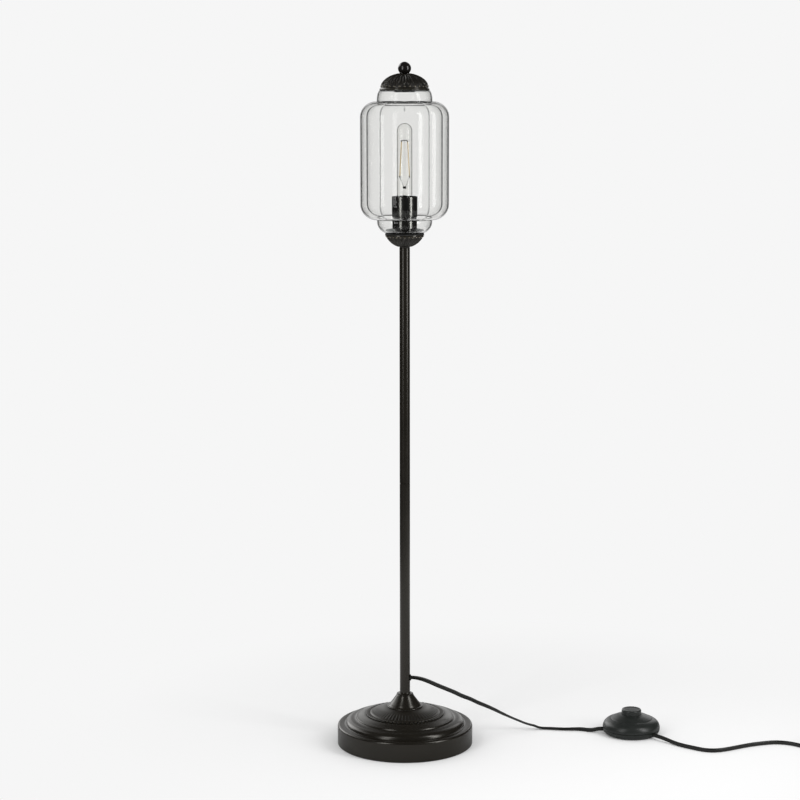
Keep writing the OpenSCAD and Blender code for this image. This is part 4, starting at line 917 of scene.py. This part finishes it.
# Glass shows the pale background behind it on every side. Polished parts mirror a dim room,
# pale low behind the lamp, with a window at the right, and one at the left with a brighter
# part. The glass mirrors no window. Each row is a brightness, where it is, and its fades:
# an axis, from where, to where, and whether it rises.
world = bpy.data.worlds.new("studio")
world.use_nodes = True
tree = world.node_tree
tree.nodes.clear()
place = add(tree, "ShaderNodeTexCoord")
parts = add(tree, "ShaderNodeSeparateXYZ", {0: place.outputs["Generated"]})
ray = add(tree, "ShaderNodeLightPath")
behind = add(tree, "ShaderNodeMath", {0: parts.outputs["Y"], 1: 0.0}, operation="GREATER_THAN")
blurred = add(tree, "ShaderNodeMath", {0: behind.outputs[0], 1: ray.outputs["Is Singular Ray"]},
              operation="SUBTRACT")
room = 0.05
for bright, shown, *fades in (
    (0.65, behind, ("X", -0.45, -0.2, 1), ("X", 0.2, 0.45, 0), ("Z", 0.3, 0.5, 0)),
    (1.3, blurred, ("X", 0.12, 0.22, 1), ("X", 0.4, 0.52, 0), ("Z", 0.04, 0.12, 1), ("Z", 0.45, 0.75, 0)),
    (1.3, blurred, ("X", -0.2, -0.1, 0), ("X", -0.9, -0.7, 1), ("Z", 0.04, 0.12, 1), ("Z", 0.45, 0.75, 0)),
    (3.4, blurred, ("X", -0.5, -0.35, 0), ("X", -0.9, -0.7, 1), ("Z", 0.1, 0.2, 1), ("Z", 0.45, 0.75, 0)),
):
    share = shown
    for axis, first, last, rises in fades:
        fade = add(tree, "ShaderNodeMapRange",
                   {"Value": parts.outputs[axis], "From Min": first, "From Max": last,
                    "To Min": 1.0 - rises, "To Max": float(rises)}, interpolation_type="SMOOTHSTEP")
        share = add(tree, "ShaderNodeMath", {0: share.outputs[0], 1: fade.outputs["Result"]},
                    operation="MULTIPLY", use_clamp=True)
    room = add(tree, "ShaderNodeMix", {0: share.outputs[0], 2: room, 3: bright}).outputs[0]
fill = add(tree, "ShaderNodeMix",
           {0: ray.outputs["Is Diffuse Ray"], 2: linear(PALE)[0], 3: linear("#dedede")[0]})
mirror = add(tree, "ShaderNodeMath", {0: ray.outputs["Glossy Depth"], 1: 0.5}, operation="GREATER_THAN")
seen = add(tree, "ShaderNodeMix", {0: mirror.outputs[0], 2: fill.outputs[0], 3: room})
back = add(tree, "ShaderNodeBackground", {"Color": linear("#ffffff"), "Strength": seen.outputs[0]})
add(tree, "ShaderNodeOutputWorld", {"Surface": back.outputs["Background"]})
bpy.context.scene.world = world

AIM = Vector((0.0, 0.0, 1.0))
for name, spot, power in (("left_softbox", (-1.22, -1.55, 1.45), 15.0),
                          ("right_softbox", (1.76, -1.0, 1.45), 24.0)):
    lamp_data = bpy.data.lights.new(name, "AREA")
    lamp_data.shape = "RECTANGLE"
    lamp_data.size, lamp_data.size_y = 0.55, 2.0
    lamp_data.energy = power
    lamp = put(name, lamp_data)
    lamp.location = spot
    lamp.rotation_euler = (AIM - Vector(spot)).to_track_quat("-Z", "Y").to_euler()
